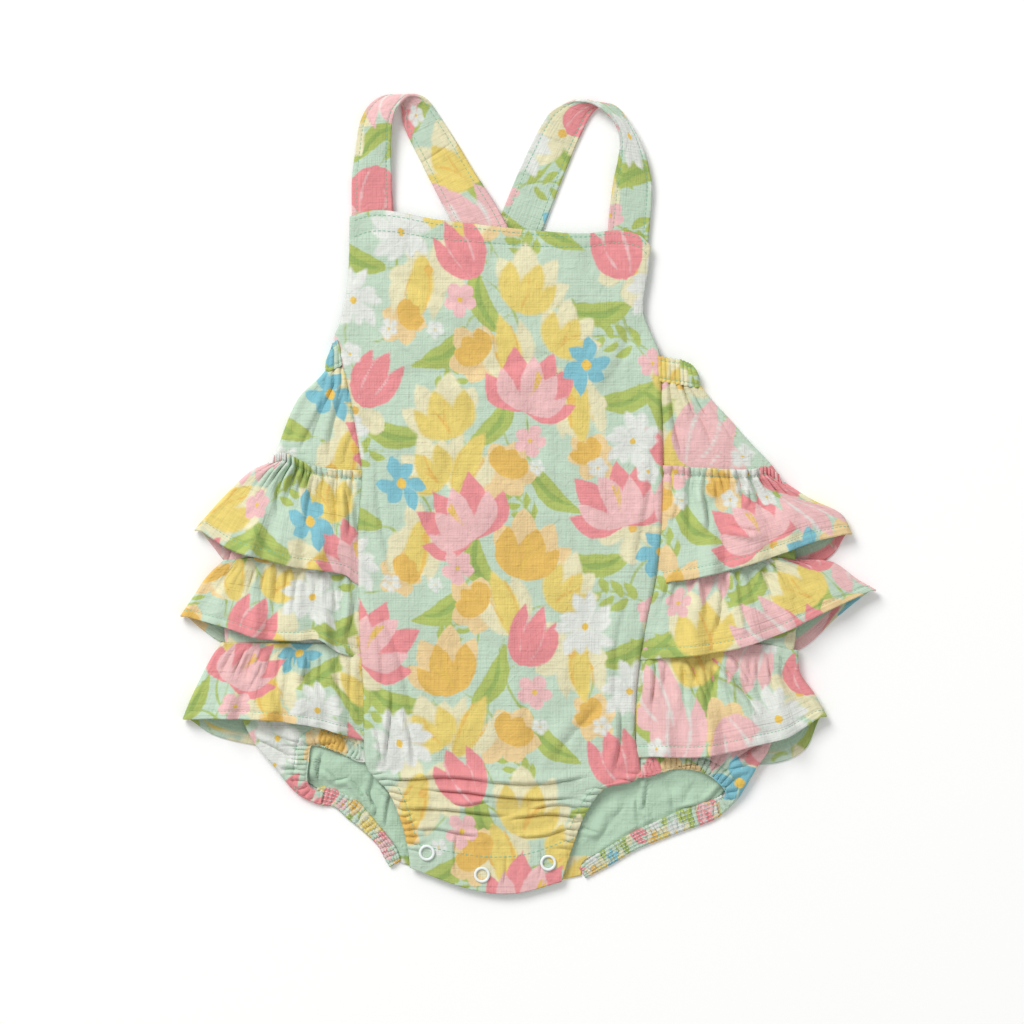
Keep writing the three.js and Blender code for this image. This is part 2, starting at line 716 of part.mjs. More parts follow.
add("centre_front", centreFront(), printedCloth);
add("side_front_left", sideFront(leftSideRows), printedCloth);
add("side_front_right", sideFront(rightSideRows), printedCloth);
add("back_panel", backPanel(), printedCloth);
add("top_casing", casingGeometry(), printedCloth);
for (const tier of tiers) add(tier.name, tierGeometry(tier), ruffleCloth);
add("strap_left", strapGeometry(leftStrapRows), strapCloth);
add("strap_right", strapGeometry(rightStrapRows), strapCloth);
add("leg_band_left", bandGeometry(leftBandRows), printedCloth);
add("leg_band_right", bandGeometry(rightBandRows), printedCloth);
snapPlaces.rows.forEach(([x, y], n) => {
  const ringHeight = tabHeight + wall / 2 + seamGap + snap.rise / 2;
  add(`snap_ring_${n + 1}`, ringGeometry(), pearlPlastic, [x, y, ringHeight]);
  add(`snap_stud_${n + 1}`, studGeometry(), pearlPlastic, [x, y, (snap.studLow + snap.studHigh) / 2]);
});

export default romper;
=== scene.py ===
import math
import bpy
import numpy as np
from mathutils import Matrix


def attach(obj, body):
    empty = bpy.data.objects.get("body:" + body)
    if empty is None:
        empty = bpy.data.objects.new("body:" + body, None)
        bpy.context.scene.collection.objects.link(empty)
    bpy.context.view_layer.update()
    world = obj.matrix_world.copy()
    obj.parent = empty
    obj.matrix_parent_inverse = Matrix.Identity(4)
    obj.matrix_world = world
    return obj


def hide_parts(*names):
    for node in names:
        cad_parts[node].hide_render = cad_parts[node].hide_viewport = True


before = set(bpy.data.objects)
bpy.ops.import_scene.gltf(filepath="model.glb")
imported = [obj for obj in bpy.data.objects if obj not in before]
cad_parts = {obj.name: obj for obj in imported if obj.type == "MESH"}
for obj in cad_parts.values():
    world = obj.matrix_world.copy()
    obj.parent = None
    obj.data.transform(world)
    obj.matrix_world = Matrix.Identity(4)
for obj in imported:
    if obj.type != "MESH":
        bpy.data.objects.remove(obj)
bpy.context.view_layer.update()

mm = 0.001


# soft step: 0 below a, 1 above b, cubic between
def smooth(a, b, x):
    t = np.clip((x - a) / (b - a), 0.0, 1.0)
    return t * t * (3 - 2 * t)


def mix(a, b, t):
    return a + (b - a) * t


# bell curve: 1 at zero, 0.37 at one either side, near 0 beyond two
def bell(x):
    return np.exp(-x ** 2)


# distance travelled along a line of points, from its first one
def travelled(points):
    return np.concatenate([[0], np.cumsum(np.linalg.norm(np.diff(points, axis=0), axis=1))])


# shares down and across a grid; the table says which share lies at which row
def shareGrid(rows, columns, rowShares=((0, 0), (1, 1))):
    down = np.interp(np.linspace(0, 1, rows), *np.array(rowShares).T)
    return np.meshgrid(down, np.linspace(0, 1, columns), indexing="ij")


# smooth curve through a table's rows: cubic pieces with slopes taken between each row's neighbours
def curveThrough(rows):
    rows = np.array(rows, float)
    time = travelled(rows)
    slope = np.empty_like(rows)
    slope[1:-1] = (rows[2:] - rows[:-2]) / (time[2:] - time[:-2])[:, None]
    slope[0] = (rows[1] - rows[0]) / (time[1] - time[0])
    slope[-1] = (rows[-1] - rows[-2]) / (time[-1] - time[-2])

    def at(share):
        share = np.asarray(share, float)
        when = np.clip(share, 0, 1) * time[-1]
        i = np.clip(np.searchsorted(time, when, side="right") - 1, 0, len(rows) - 2)
        span = (time[i + 1] - time[i])[..., None]
        t = (when - time[i])[..., None] / span
        return ((2 * t ** 3 - 3 * t ** 2 + 1) * rows[i] + (t ** 3 - 2 * t ** 2 + t) * span * slope[i]
                + (3 * t ** 2 - 2 * t ** 3) * rows[i + 1] + (t ** 3 - t ** 2) * span * slope[i + 1])
    return at


# patch between four curves: the two blends of facing curves, less the blend of the corners
def patchBetween(top, bottom, start, end, across, down):
    a, d = across[..., None], down[..., None]
    ends = np.array([0.0, 1.0])
    (topStart, topEnd), (bottomStart, bottomEnd) = top(ends), bottom(ends)
    ruled = mix(top(across), bottom(across), d) + mix(start(down), end(down), a)
    return ruled - mix(mix(topStart, topEnd, a), mix(bottomStart, bottomEnd, a), d)


# random lattice read with soft steps between its points; the result runs from -1 to 1
def softNoise(x, y, scale, seed):
    lattice = np.random.default_rng(seed).uniform(-1, 1, (64, 64))
    gx, gy = x / scale + 31.7, y / scale + 17.3
    ix, iy = np.floor(gx).astype(int), np.floor(gy).astype(int)
    fx, fy = smooth(0, 1, gx - ix), smooth(0, 1, gy - iy)
    pick = lambda i, j: lattice[i % 64, j % 64]
    return mix(mix(pick(ix, iy), pick(ix + 1, iy), fx), mix(pick(ix, iy + 1), pick(ix + 1, iy + 1), fx), fy)


# muslin crinkle: three noises, the fine ones drawn out along the cloth, in mm of height
def crinkle(x, y, seed, size=1.0):
    broad = 0.42 * softNoise(x, y, 21, seed) + 0.26 * softNoise(x, y * 0.45, 8, seed + 1)
    fine = 0.13 * softNoise(x, y * 0.3, 3.6, seed + 2) + 0.10 * softNoise(x * 0.35, y, 3.8, seed + 3)
    return size * (broad + fine)


# a fold's line from (x0, y0) to (x1, y1): its length, the share of it passed at each point, and each
# point's distance to its left
def besideFold(x, y, x0, y0, x1, y1):
    length = math.hypot(x1 - x0, y1 - y0)
    ux, uy = (x1 - x0) / length, (y1 - y0) / length
    return length, ((x - x0) * ux + (y - y0) * uy) / length, (y - y0) * ux - (x - x0) * uy


# creases: each row is a slightly bowed line with a soft ridge beside it and a narrow trough on its other
# side, fading out at both ends; a row ends with its width and height
def creases(x, y, rows):
    total = np.zeros_like(x)
    for *line, width, height in rows:
        length, along, left = besideFold(x, y, *line)
        side = 0.05 * length * np.sin(3.1 * along + line[0]) - left
        fade = smooth(-0.12, 0.3, along) * smooth(1.12, 0.7, along)
        ridge = bell((side - 0.5 * width) / width)
        total += height * fade * (ridge - 0.8 * bell((side + 0.75 * width) / (0.4 * width)))
    return total


# pleats: each row is a line with a rounded bulge above it that drops sharply into a groove along it
def pleats(x, y, rows):
    total = np.zeros_like(x)
    for *line, width, height in rows:
        length, along, left = besideFold(x, y, *line)
        above = left + 1.4 * np.sin(4.6 * along + line[0]) + 0.5 * softNoise(x, y, 9, 77)
        fade = smooth(-0.08, 0.22, along) * smooth(1.08, 0.78, along)
        bulge = smooth(-0.7, 0.5, above) * np.exp(-(np.maximum(above - 0.5, 0) / width) ** 1.5)
        total += height * fade * (bulge - 0.55 * bell((above + 1.1) / 0.6))
    return total


# puckers along a gathered edge: narrow rounded ridges side by side with sharp valleys between them;
# the argument counts them, and the result runs from about -0.55 to 0.45
def puckerRow(count):
    return np.abs(np.sin(count * math.pi)) ** 0.7 - 0.55


# unit normals of a grid of points: the cross product of its two directions
def gridNormals(points):
    down = np.gradient(points, axis=0)
    along = np.gradient(points, axis=1)
    normal = np.cross(down, along)
    return normal / np.maximum(np.linalg.norm(normal, axis=2, keepdims=True), 1e-9)


# the printed motifs of one repeat, listed one by one: kind, middle x, y in mm, turn in degrees, size, ink
repeat = {
    "width": 150.0, "height": 144.0, "trades": {"coral": "pink", "gold": "yellow"},
    "swaps": {"openTulip": "closedTulip", "star": "daisy"}, "stray": 4.0, "spin": 14.0,
    "motifs": [
        ("openTulip", 22, 124, 16, 0.88, "coral"), ("star", 54, 134, 10, 1.0, "blue"),
        ("leaf", 76, 122, 62, 1.0, "leaf"), ("cup", 102, 126, -12, 0.95, "yellow"),
        ("closedTulip", 138, 122, -28, 1.0, "pink"), ("sprig", 120, 142, 55, 0.9, "leaf"),
        ("leaf", 0, 100, 30, 1.0, "leaf"), ("closedTulip", 46, 100, 158, 0.95, "yellow"),
        ("daisy", 76, 92, 10, 0.9, "white"), ("closedTulip", 106, 88, -24, 1.05, "coral"),
        ("leaf", 132, 94, -58, 0.95, "leaf"), ("blossom", 22, 92, 20, 0.85, "pink"),
        ("daffodil", 10, 70, 38, 0.9, "gold"), ("cup", 138, 66, 22, 1.05, "yellow"),
        ("leaf", 33, 66, 118, 0.95, "leaf"), ("openTulip", 64, 56, -34, 0.9, "coral"),
        ("closedTulip", 102, 54, 150, 0.95, "pink"), ("blossom", 84, 70, 0, 0.6, "white"),
        ("leaf", 122, 44, -14, 1.0, "leaf"), ("cup", 24, 34, 34, 0.95, "gold"),
        ("star", 90, 26, 0, 1.0, "blue"), ("closedTulip", 142, 32, 14, 1.0, "coral"),
        ("leaf", 58, 24, 68, 1.0, "leaf"), ("closedTulip", 6, 4, -14, 0.95, "yellow"),
        ("cup", 40, 6, 30, 0.8, "yellow"), ("sprig", 74, 4, -66, 1.0, "leaf"),
        ("closedTulip", 112, 8, -158, 0.95, "pink"), ("leaf", 134, 4, 44, 0.95, "leaf"),
        ("blossom", 60, 78, 15, 0.5, "white"), ("cream", 40, 112, 0, 1.3, "cream"),
        ("cream", 118, 108, 30, 1.1, "cream"), ("daffodil", 118, 26, 200, 0.8, "gold"),
        ("sprig", 18, 52, -30, 0.85, "leaf"), ("cream", 76, 38, 12, 1.2, "cream"),
        ("daffodil", 52, 84, -60, 0.7, "gold"), ("blossom", 92, 136, 10, 0.75, "pink"),
        ("blossom", 30, 78, 40, 0.4, "white"), ("sprig", 142, 108, 150, 0.8, "leaf"),
        ("sprig", 96, 70, 35, 0.8, "leaf"), ("blossom", 144, 92, 15, 0.5, "white"),
        ("leaf", 88, 106, -30, 0.8, "leaf"),
    ],
}
inks = ["stem", "leaf", "leafDark", "goldLight", "cream", "yellow", "gold", "coral", "pink", "blue", "white",
        "centre"]
tulipInks = {
    "coral": ("coral", "coral", "pink"), "pink": ("pink", "pink", "white"),
    "yellow": ("cream", "yellow", "gold"),
    "gold": ("goldLight", "gold", "centre"),
}
headMiddle = {"closedTulip": 21.0, "openTulip": 19.0, "cup": 17.0, "leaf": 20.0, "sprig": 17.0}


# parts of a motif, each one petal or stroke:
# ink, start x, y, turn, length, width, bend, where it is widest, how pointed its tip is, tone at its tip
def motifParts(kind, size, ink):
    parts = []
    petal = lambda *row: parts.append(row)
    if kind == "closedTulip":
        sides, middle, vein = tulipInks[ink]
        petal("stem", 0, 2, 186, 54, 1.4, 8, 0.5, 0.3, 0)
        petal(sides, -3, -1, -13, 37, 12, -3, 0.45, 0.9, -0.3)
        petal(sides, 3, -1, 15, 35, 12, 3, 0.45, 0.9, -0.5)
        petal(middle, -0.5, -2, 2, 40, 15, 1, 0.42, 0.85, 0.4)
        petal(vein, 3.2, 0, 5, 31, 1.3, 2, 0.5, 0.35, 0)
        petal(vein, -3.4, 5, -6, 24, 1.1, -2, 0.5, 0.35, 0)
    elif kind == "openTulip":
        petal("stem", 0, 0, 172, 50, 1.4, -7, 0.5, 0.3, 0)
        for turn, length, width in ((-62, 35, 14), (-26, 42, 17), (12, 40, 15), (36, 41, 16), (68, 33, 13)):
            petal("coral", 0, 0, turn, length, width, turn * 0.07, 0.55, 1.15, 0.3)
        petal("pink", -1, 0, -44, 31, 12, -3, 0.5, 1.0, 0.7)
        petal("pink", 0, -1, -7, 36, 15, 2, 0.5, 1.0, 0.7)
        petal("pink", 1, -1, 24, 30, 13, 2, 0.55, 1.0, 0.7)
        petal("pink", 1, 0, 54, 28, 10, 4, 0.5, 1.0, 0.7)
        for turn, length in ((-24, 22), (-14, 26), (14, 23), (4, 24)):
            petal("centre" if turn > 0 else "cream", 0, 8, turn, length * 0.75, 1.8, 1, 0.8, 0.35, 0)
    elif kind == "cup":
        second = {"gold": "goldLight", "yellow": "cream"}[ink]
        vein = {"gold": "centre", "yellow": "gold"}[ink]
        petal("stem", 0, 0, 188, 50, 1.4, 8, 0.5, 0.3, 0)
        for turn, length, width in ((-44, 31, 15), (-17, 38, 16), (14, 36, 15), (43, 33, 14)):
            petal(second, 0, 0, turn, length, width, 2, 0.6, 0.8, 0.6)
        petal(ink, -1, -2, -30, 29, 14, -2, 0.5, 0.9, -0.4)
        petal(ink, 0, -2, 2, 31, 15, 2, 0.5, 0.9, -0.2)
        petal(ink, 1, -2, 33, 28, 12, 3, 0.5, 0.9, -0.4)
        petal(vein, 1, 2, -12, 22, 1.1, 2, 0.5, 0.35, 0)
        petal(vein, 2, 2, 20, 20, 1.1, -2, 0.5, 0.35, 0)
    elif kind == "star":
        petal("stem", 0, 0, 200, 30, 1.6, 5, 0.5, 0.3, 0)
        for n in range(6):
            petal("blue", 0, 0, n * 60 + 8 * (n % 2), 16.5 - 1.8 * (n % 3), 7.6, 1.4, 0.6, 1.05, 0.5)
        petal("centre", 0, -2.8, 0, 5.6, 5.6, 0, 0.5, 0.5, 0)
    elif kind == "daisy":
        petal("stem", 0, 0, 176, 44, 1.6, -6, 0.5, 0.3, 0)
        for n in range(10):
            petal("white", 0, 0, n * 36 + 9 * (n % 2), 20 - 2.2 * (n % 3), 7.4, 1.5, 0.62, 0.8, 0.4)
        petal("centre", 0, -2.2, 0, 4.4, 4.0, 0, 0.5, 0.5, 0)
    elif kind == "blossom":
        for n in range(5):
            petal(ink, 0, 0, n * 72 + 5 * (n % 2), 11.5 - 0.8 * (n % 2), 8.8, 0, 0.66, 0.5, 0.4)
        petal("centre", 0, -1.7, 0, 3.4, 3.4, 0, 0.5, 0.5, 0)
    elif kind == "cream":
        for n in range(5):
            petal("cream", 0, 0, n * 72 + 14, 17, 10, 1, 0.62, 0.6, 0.3)
        petal("gold", 0, -2, 0, 4, 3.8, 0, 0.5, 0.5, 0)
    elif kind == "daffodil":
        petal("stem", 0, 0, 170, 36, 1.6, 6, 0.5, 0.3, 0)
        for n in range(6):
            petal("goldLight", 0, 0, n * 60 + 6 * (n % 2), 22 - 2 * (n % 3), 14, 1, 0.6, 0.7, 0.6)
        for turn in (-32, 0, 30):
            petal("gold", 0, -4, turn, 19, 11, turn * 0.05, 0.6, 0.5, -0.5)
    elif kind == "leaf":
        petal("stem", 0, 1, 182, 15, 1.6, 3, 0.5, 0.3, 0)
        petal("leaf", 0, 0, 0, 40, 13.5, 5, 0.42, 1.1, 0.3)
        petal("leafDark", 1.2, 2, -4, 33, 3.6, 5, 0.45, 1.0, 0)
    elif kind == "sprig":
        petal("stem", 0, 0, 0, 34, 1.5, 4, 0.5, 0.3, 0)
        for n in range(3):
            petal("leaf", 1.0 + 0.5 * n, 6 + 8 * n, 48, 13 - n, 4.8, 1, 0.5, 1.0, 0.2)
            petal("leaf", 1.0 + 0.5 * n, 10 + 8 * n, -44, 12 - n, 4.4, -1, 0.5, 1.0, 0.2)
    head = headMiddle.get(kind, 0.0)
    return [(name, size * x, size * (y - head), turn, *(size * value for value in sizes), *shape)
            for name, x, y, turn, *sizes, shape in (row[:7] + (row[7:],) for row in parts)]


# distance in mm from each printed shape's edge, below zero inside it, for every ink, and a tone that
# runs along each petal. A petal's half width is a bell of its length; the motif lies at (x, y) turned
def printLayers(flatX, flatY, shiftX, shiftY):
    far, reach = 4.0, 66.0
    x0, y0 = flatX.ravel() + shiftX, flatY.ravel() + shiftY
    ragged = 0.42 * softNoise(x0, y0, 1.9, 70) + 0.5 * softNoise(x0, y0, 6.0, 71)
    x = x0 + 1.6 * softNoise(x0, y0, 30, 72)
    y = y0 + 1.6 * softNoise(x0, y0, 30, 73)
    distance = {ink: np.full(x.shape, far) for ink in inks}
    tone = np.zeros(x.shape)
    wide, high = repeat["width"], repeat["height"]
    columns = range(int(np.floor(x.min() / wide)) - 1, int(np.floor(x.max() / wide)) + 2)
    for column in columns:
        drop = 0.5 * high * (column % 2)
        rows = range(int(np.floor((y.min() - drop) / high)) - 1, int(np.floor((y.max() - drop) / high)) + 2)
        for row in rows:
            # every other column is a mirror image, and every other row trades some of its inks
            flip = -1 if column % 2 else 1
            for kind, motifX, motifY, turn, size, ink in repeat["motifs"]:
                if (row + column) % 2:
                    ink = ink if kind == "openTulip" else repeat["trades"].get(ink, ink)
                    kind = repeat["swaps"].get(kind, kind)
                stray = math.sin(12.9 * row + 7.3 * column + motifX)
                cx = column * wide + (motifX if flip > 0 else wide - motifX) + repeat["stray"] * stray
                cy = motifY + drop + row * high + repeat["stray"] * math.cos(5.1 * row + 3.7 * column + motifY)
                near = np.flatnonzero((np.abs(x - cx) < reach) & (np.abs(y - cy) < reach))
                if not len(near):
                    continue
                spin = math.radians(turn + repeat["spin"] * stray)
                dx, dy = (x[near] - cx) * flip, y[near] - cy
                px = dx * math.cos(spin) - dy * math.sin(spin)
                py = dx * math.sin(spin) + dy * math.cos(spin)
                for name, bx, by, lean, length, width, bend, widest, point, tip in motifParts(kind, size,
                                                                                              ink):
                    angle = math.radians(lean)
                    along = (px - bx) * math.sin(angle) + (py - by) * math.cos(angle)
                    side = (px - bx) * math.cos(angle) - (py - by) * math.sin(angle)
                    t = np.clip(along / length, 0.001, 0.999)
                    side = side - bend * np.sin(math.pi * t)
                    half = width / 2 * np.sin(math.pi * t ** (math.log(0.5) / math.log(widest))) ** mix(0.5,
                                                                                                        point,
                                                                                                        t)
                    past = np.maximum(-along, along - length)
                    d = np.where(past > 0, np.hypot(np.maximum(np.abs(side) - half, 0), past),
                                 np.abs(side) - half)
                    d = d + ragged[near] * (0.4 if name in ("stem", "centre") else 1.0)
                    inside = near[d < 0]
                    tone[inside] = (tip * (2 * t - 1) + 0.25 * np.sin(side * 1.1))[d < 0]
                    distance[name][near] = np.minimum(distance[name][near], d)
    return [distance[ink].reshape(flatX.shape) for ink in inks], tone.reshape(flatX.shape)


# smooth-shaded object made of quads, its points given in mm
def newPiece(name, points, faces, material):
    mesh = bpy.data.meshes.new(name)
    mesh.vertices.add(len(points))
    mesh.vertices.foreach_set("co", (points * mm).ravel())
    mesh.loops.add(faces.size)
    mesh.loops.foreach_set("vertex_index", faces.ravel())
    mesh.polygons.add(len(faces))
    mesh.polygons.foreach_set("loop_start", np.arange(0, faces.size, 4))
    mesh.update(calc_edges=True)
    mesh.polygons.foreach_set("use_smooth", np.ones(len(faces), bool))
    mesh.materials.append(material)
    piece = bpy.data.objects.new(name, mesh)
    bpy.context.scene.collection.objects.link(piece)
    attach(piece, "root")
    return piece


# a cloth wall from its middle grid: outer and inner faces half a thickness each way along the normals,
# with a rim; the inner face is plain where hemBand is above zero, and printed below it
def clothPiece(spec, middle, thickness, flat, hemBand=1.0):
    rows, columns = middle.shape[:2]
    count = rows * columns
    normals = gridNormals(middle)
    half = normals * (thickness / 2)
    outer, inner = middle + half, middle - half
    points = np.concatenate([outer.reshape(-1, 3), inner.reshape(-1, 3)])
    points[:, 2] = np.maximum(points[:, 2], 0.02)
    index = np.arange(count).reshape(rows, columns)
    a, b, c, d = index[:-1, :-1], index[1:, :-1], index[1:, 1:], index[:-1, 1:]
    top = np.stack([a, b, c, d], axis=-1).reshape(-1, 4)
    under = np.stack([a, d, c, b], axis=-1).reshape(-1, 4) + count
    rim = np.concatenate([index[0, :-1], index[:-1, -1], index[-1, :0:-1], index[:0:-1, 0]])
    nextRim = np.roll(rim, -1)
    side = np.stack([rim, nextRim, nextRim + count, rim + count], axis=-1)
    piece = newPiece(spec["name"], points, np.concatenate([top, under, side]), muslin)
    distances, tone = printLayers(flat[..., 0], flat[..., 1], *spec["shift"])
    plain, zero = np.broadcast_to(1 - smooth(0.2, -0.2, hemBand), tone.shape), np.zeros(tone.shape)
    # three numbers at each point, for the outer face and then for the inner one
    values = {f"ink{k // 3}": [distances[k:k + 3]] * 2 for k in range(0, len(inks), 3)}
    values["cloth"] = [[tone, zero, zero], [tone, plain, zero]]
    values["flat"] = [[flat[..., 0] * mm, flat[..., 1] * mm, zero]] * 2
    for name, faces in values.items():
        vector = np.concatenate([np.stack(face, axis=-1).reshape(-1, 3) for face in faces])
        attribute = piece.data.attributes.new(name, "FLOAT_VECTOR", "POINT")
        attribute.data.foreach_set("vector", vector.astype(np.float32).ravel())
    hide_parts(spec["node"])
    return outer, normals


# points and normals of a grid at fractional rows and columns, blended between the four around each
def onGrid(grid, row, column):
    row = np.clip(row, 0, grid.shape[0] - 1.001)
    column = np.clip(column, 0, grid.shape[1] - 1.001)
    i, j = np.floor(row).astype(int), np.floor(column).astype(int)
    fr, fc = (row - i)[:, None], (column - j)[:, None]
    return mix(mix(grid[i, j], grid[i, j + 1], fc), mix(grid[i + 1, j], grid[i + 1, j + 1], fc), fr)


# stitches: short fat capsules laid end to end along a line of points, half sunk in the cloth
def stitchRun(points, normals, pitch=2.7, length=1.75, width=0.42):
    travel = travelled(points)
    marks = np.arange(pitch / 2, travel[-1], pitch)
    if not len(marks):
        return np.zeros((0, 3)), np.zeros((0, 4), int)
    spread = lambda values, at: np.stack([np.interp(at, travel, values[:, k]) for k in range(3)], axis=-1)
    centre = spread(points, marks)
    ahead = spread(points, marks + 0.6) - spread(points, marks - 0.6)
    ahead /= np.maximum(np.linalg.norm(ahead, axis=1, keepdims=True), 1e-9)
    up = spread(normals, marks)
    up /= np.maximum(np.linalg.norm(up, axis=1, keepdims=True), 1e-9)
    sideways = np.cross(up, ahead)
    stations = np.array([-0.5, -0.3, 0.3, 0.5]) * length
    girth = np.array([0.35, 1.0, 1.0, 0.35]) * width / 2
    turns = np.arange(6) * math.pi / 3
    ring = (centre[:, None, None] + ahead[:, None, None] * stations[None, :, None, None]
            + sideways[:, None, None] * (girth[:, None] * np.cos(turns))[None, :, :, None]
            + up[:, None, None] * (girth[:, None] * np.sin(turns) + 0.06)[None, :, :, None])
    points = ring.reshape(-1, 3)
    n = np.arange(6)
    quads = [np.stack([s * 6 + n, s * 6 + (n + 1) % 6, (s + 1) * 6 + (n + 1) % 6, (s + 1) * 6 + n], axis=-1)
             for s in range(3)]
    caps = np.array([[0, 5, 4, 3], [3, 2, 1, 0], [18, 19, 20, 21], [21, 22, 23, 18]])
    one = np.concatenate(quads + [caps])
    faces = (one[None] + 24 * np.arange(len(marks))[:, None, None]).reshape(-1, 4)
    return points, faces


# one joined mesh of several runs of stitches
def stitchPiece(cloth, runs, material=None):
    points, faces, count = [], [], 0
    for run in runs:
        runPoints, runFaces = stitchRun(*run)
        points.append(runPoints)
        faces.append(runFaces + count)
        count += len(runPoints)
    name = "stitches" + cloth[0].upper() + cloth[1:]
    piece = newPiece(name, np.concatenate(points), np.concatenate(faces), material or thread)


# a run of stitches at fractional rows and columns of a grid of points and a grid of normals
def runOn(points, normals, row, column, *sizes):
    row, column = np.broadcast_arrays(row, column)
    return onGrid(points, row, column), onGrid(normals, row, column), *sizes


# runs on the two front halves of a piece that goes round the back, where it lies above a height
def frontRuns(outer, normals, row, lowest, count, *sizes):
    columns = outer.shape[1]
    column = np.linspace(1, columns - 2, count)
    points, up = runOn(outer, normals, row, column)
    halves = [(points[:, 2] > lowest) & half for half in (column < columns / 2, column >= columns / 2)]
    return [(points[half], up[half], *sizes) for half in halves]


# a run along a ribbon on whichever of its faces lies upwards
def ribbonRun(middle, normals, column, thickness, count, *sizes):
    points, up = runOn(middle, normals, np.linspace(1, len(middle) - 2, count), column)
    up = up * np.where(up[:, 2:] < 0, -1.0, 1.0)
    return points + up * thickness / 2, up, *sizes


# sRGB hex to linear red, green, blue
def linear(text):
    values = [int(text[i:i + 2], 16) / 255 for i in (1, 3, 5)]
    return [v / 12.92 if v <= 0.04045 else ((v + 0.055) / 1.055) ** 2.4 for v in values]


# adds a node, sets its values and joins its inputs; a link is (input, node, output)
def node(tree, kind, values=(), links=(), **settings):
    made = tree.nodes.new(kind)
    for key, value in settings.items():
        setattr(made, key, value)
    for key, value in dict(values).items():
        made.inputs[key].default_value = value
    for key, source, output in links:
        tree.links.new(source.outputs[output], made.inputs[key])
    return made


def newMaterial(name):
    material = bpy.data.materials.new(name)
    material.use_nodes = True
    material.node_tree.nodes.clear()
    return material, material.node_tree


# maps a value from one span to another; the ends are from, from, to, to
def ramp(tree, source, output, *ends):
    return node(tree, "ShaderNodeMapRange", dict(enumerate(ends, 1)), [(0, source, output)])


def combine(tree, operation, first, second):
    return node(tree, "ShaderNodeMath", links=[(0, first, 0), (1, second, 0)], operation=operation)


def noise(tree, place, output, scale, detail=2.0, distortion=0.0):
    values = {"Scale": scale, "Detail": detail, "Distortion": distortion}
    return node(tree, "ShaderNodeTexNoise", values, [(0, place, output)])


# a colour times a grey shade
def shaded(tree, shade, values=(), links=()):
    return node(tree, "ShaderNodeMix", {0: 1.0, **dict(values)}, [*links, (7, shade, 0)],
                data_type="RGBA", blend_type="MULTIPLY")


def bumpOf(tree, height, strength, distance):
    return node(tree, "ShaderNodeBump", {"Strength": strength, "Distance": distance}, [("Height", height, 0)])


def shadeWith(tree, values, links):
    shader = node(tree, "ShaderNodeBsdfPrincipled", values, links)
    node(tree, "ShaderNodeOutputMaterial", links=[(0, shader, 0)])


inkColours = {
    "stem": "#A9BD6E", "leaf": "#AFBF6A", "leafDark": "#98B163", "gold": "#E3BA64", "goldLight": "#E6CB98",
    "yellow": "#E4CE76", "cream": "#E3DDB8", "coral": "#E89396", "pink": "#E9BCBB", "blue": "#82BECB",
    "white": "#E0E3DC", "centre": "#E6C15E",
}


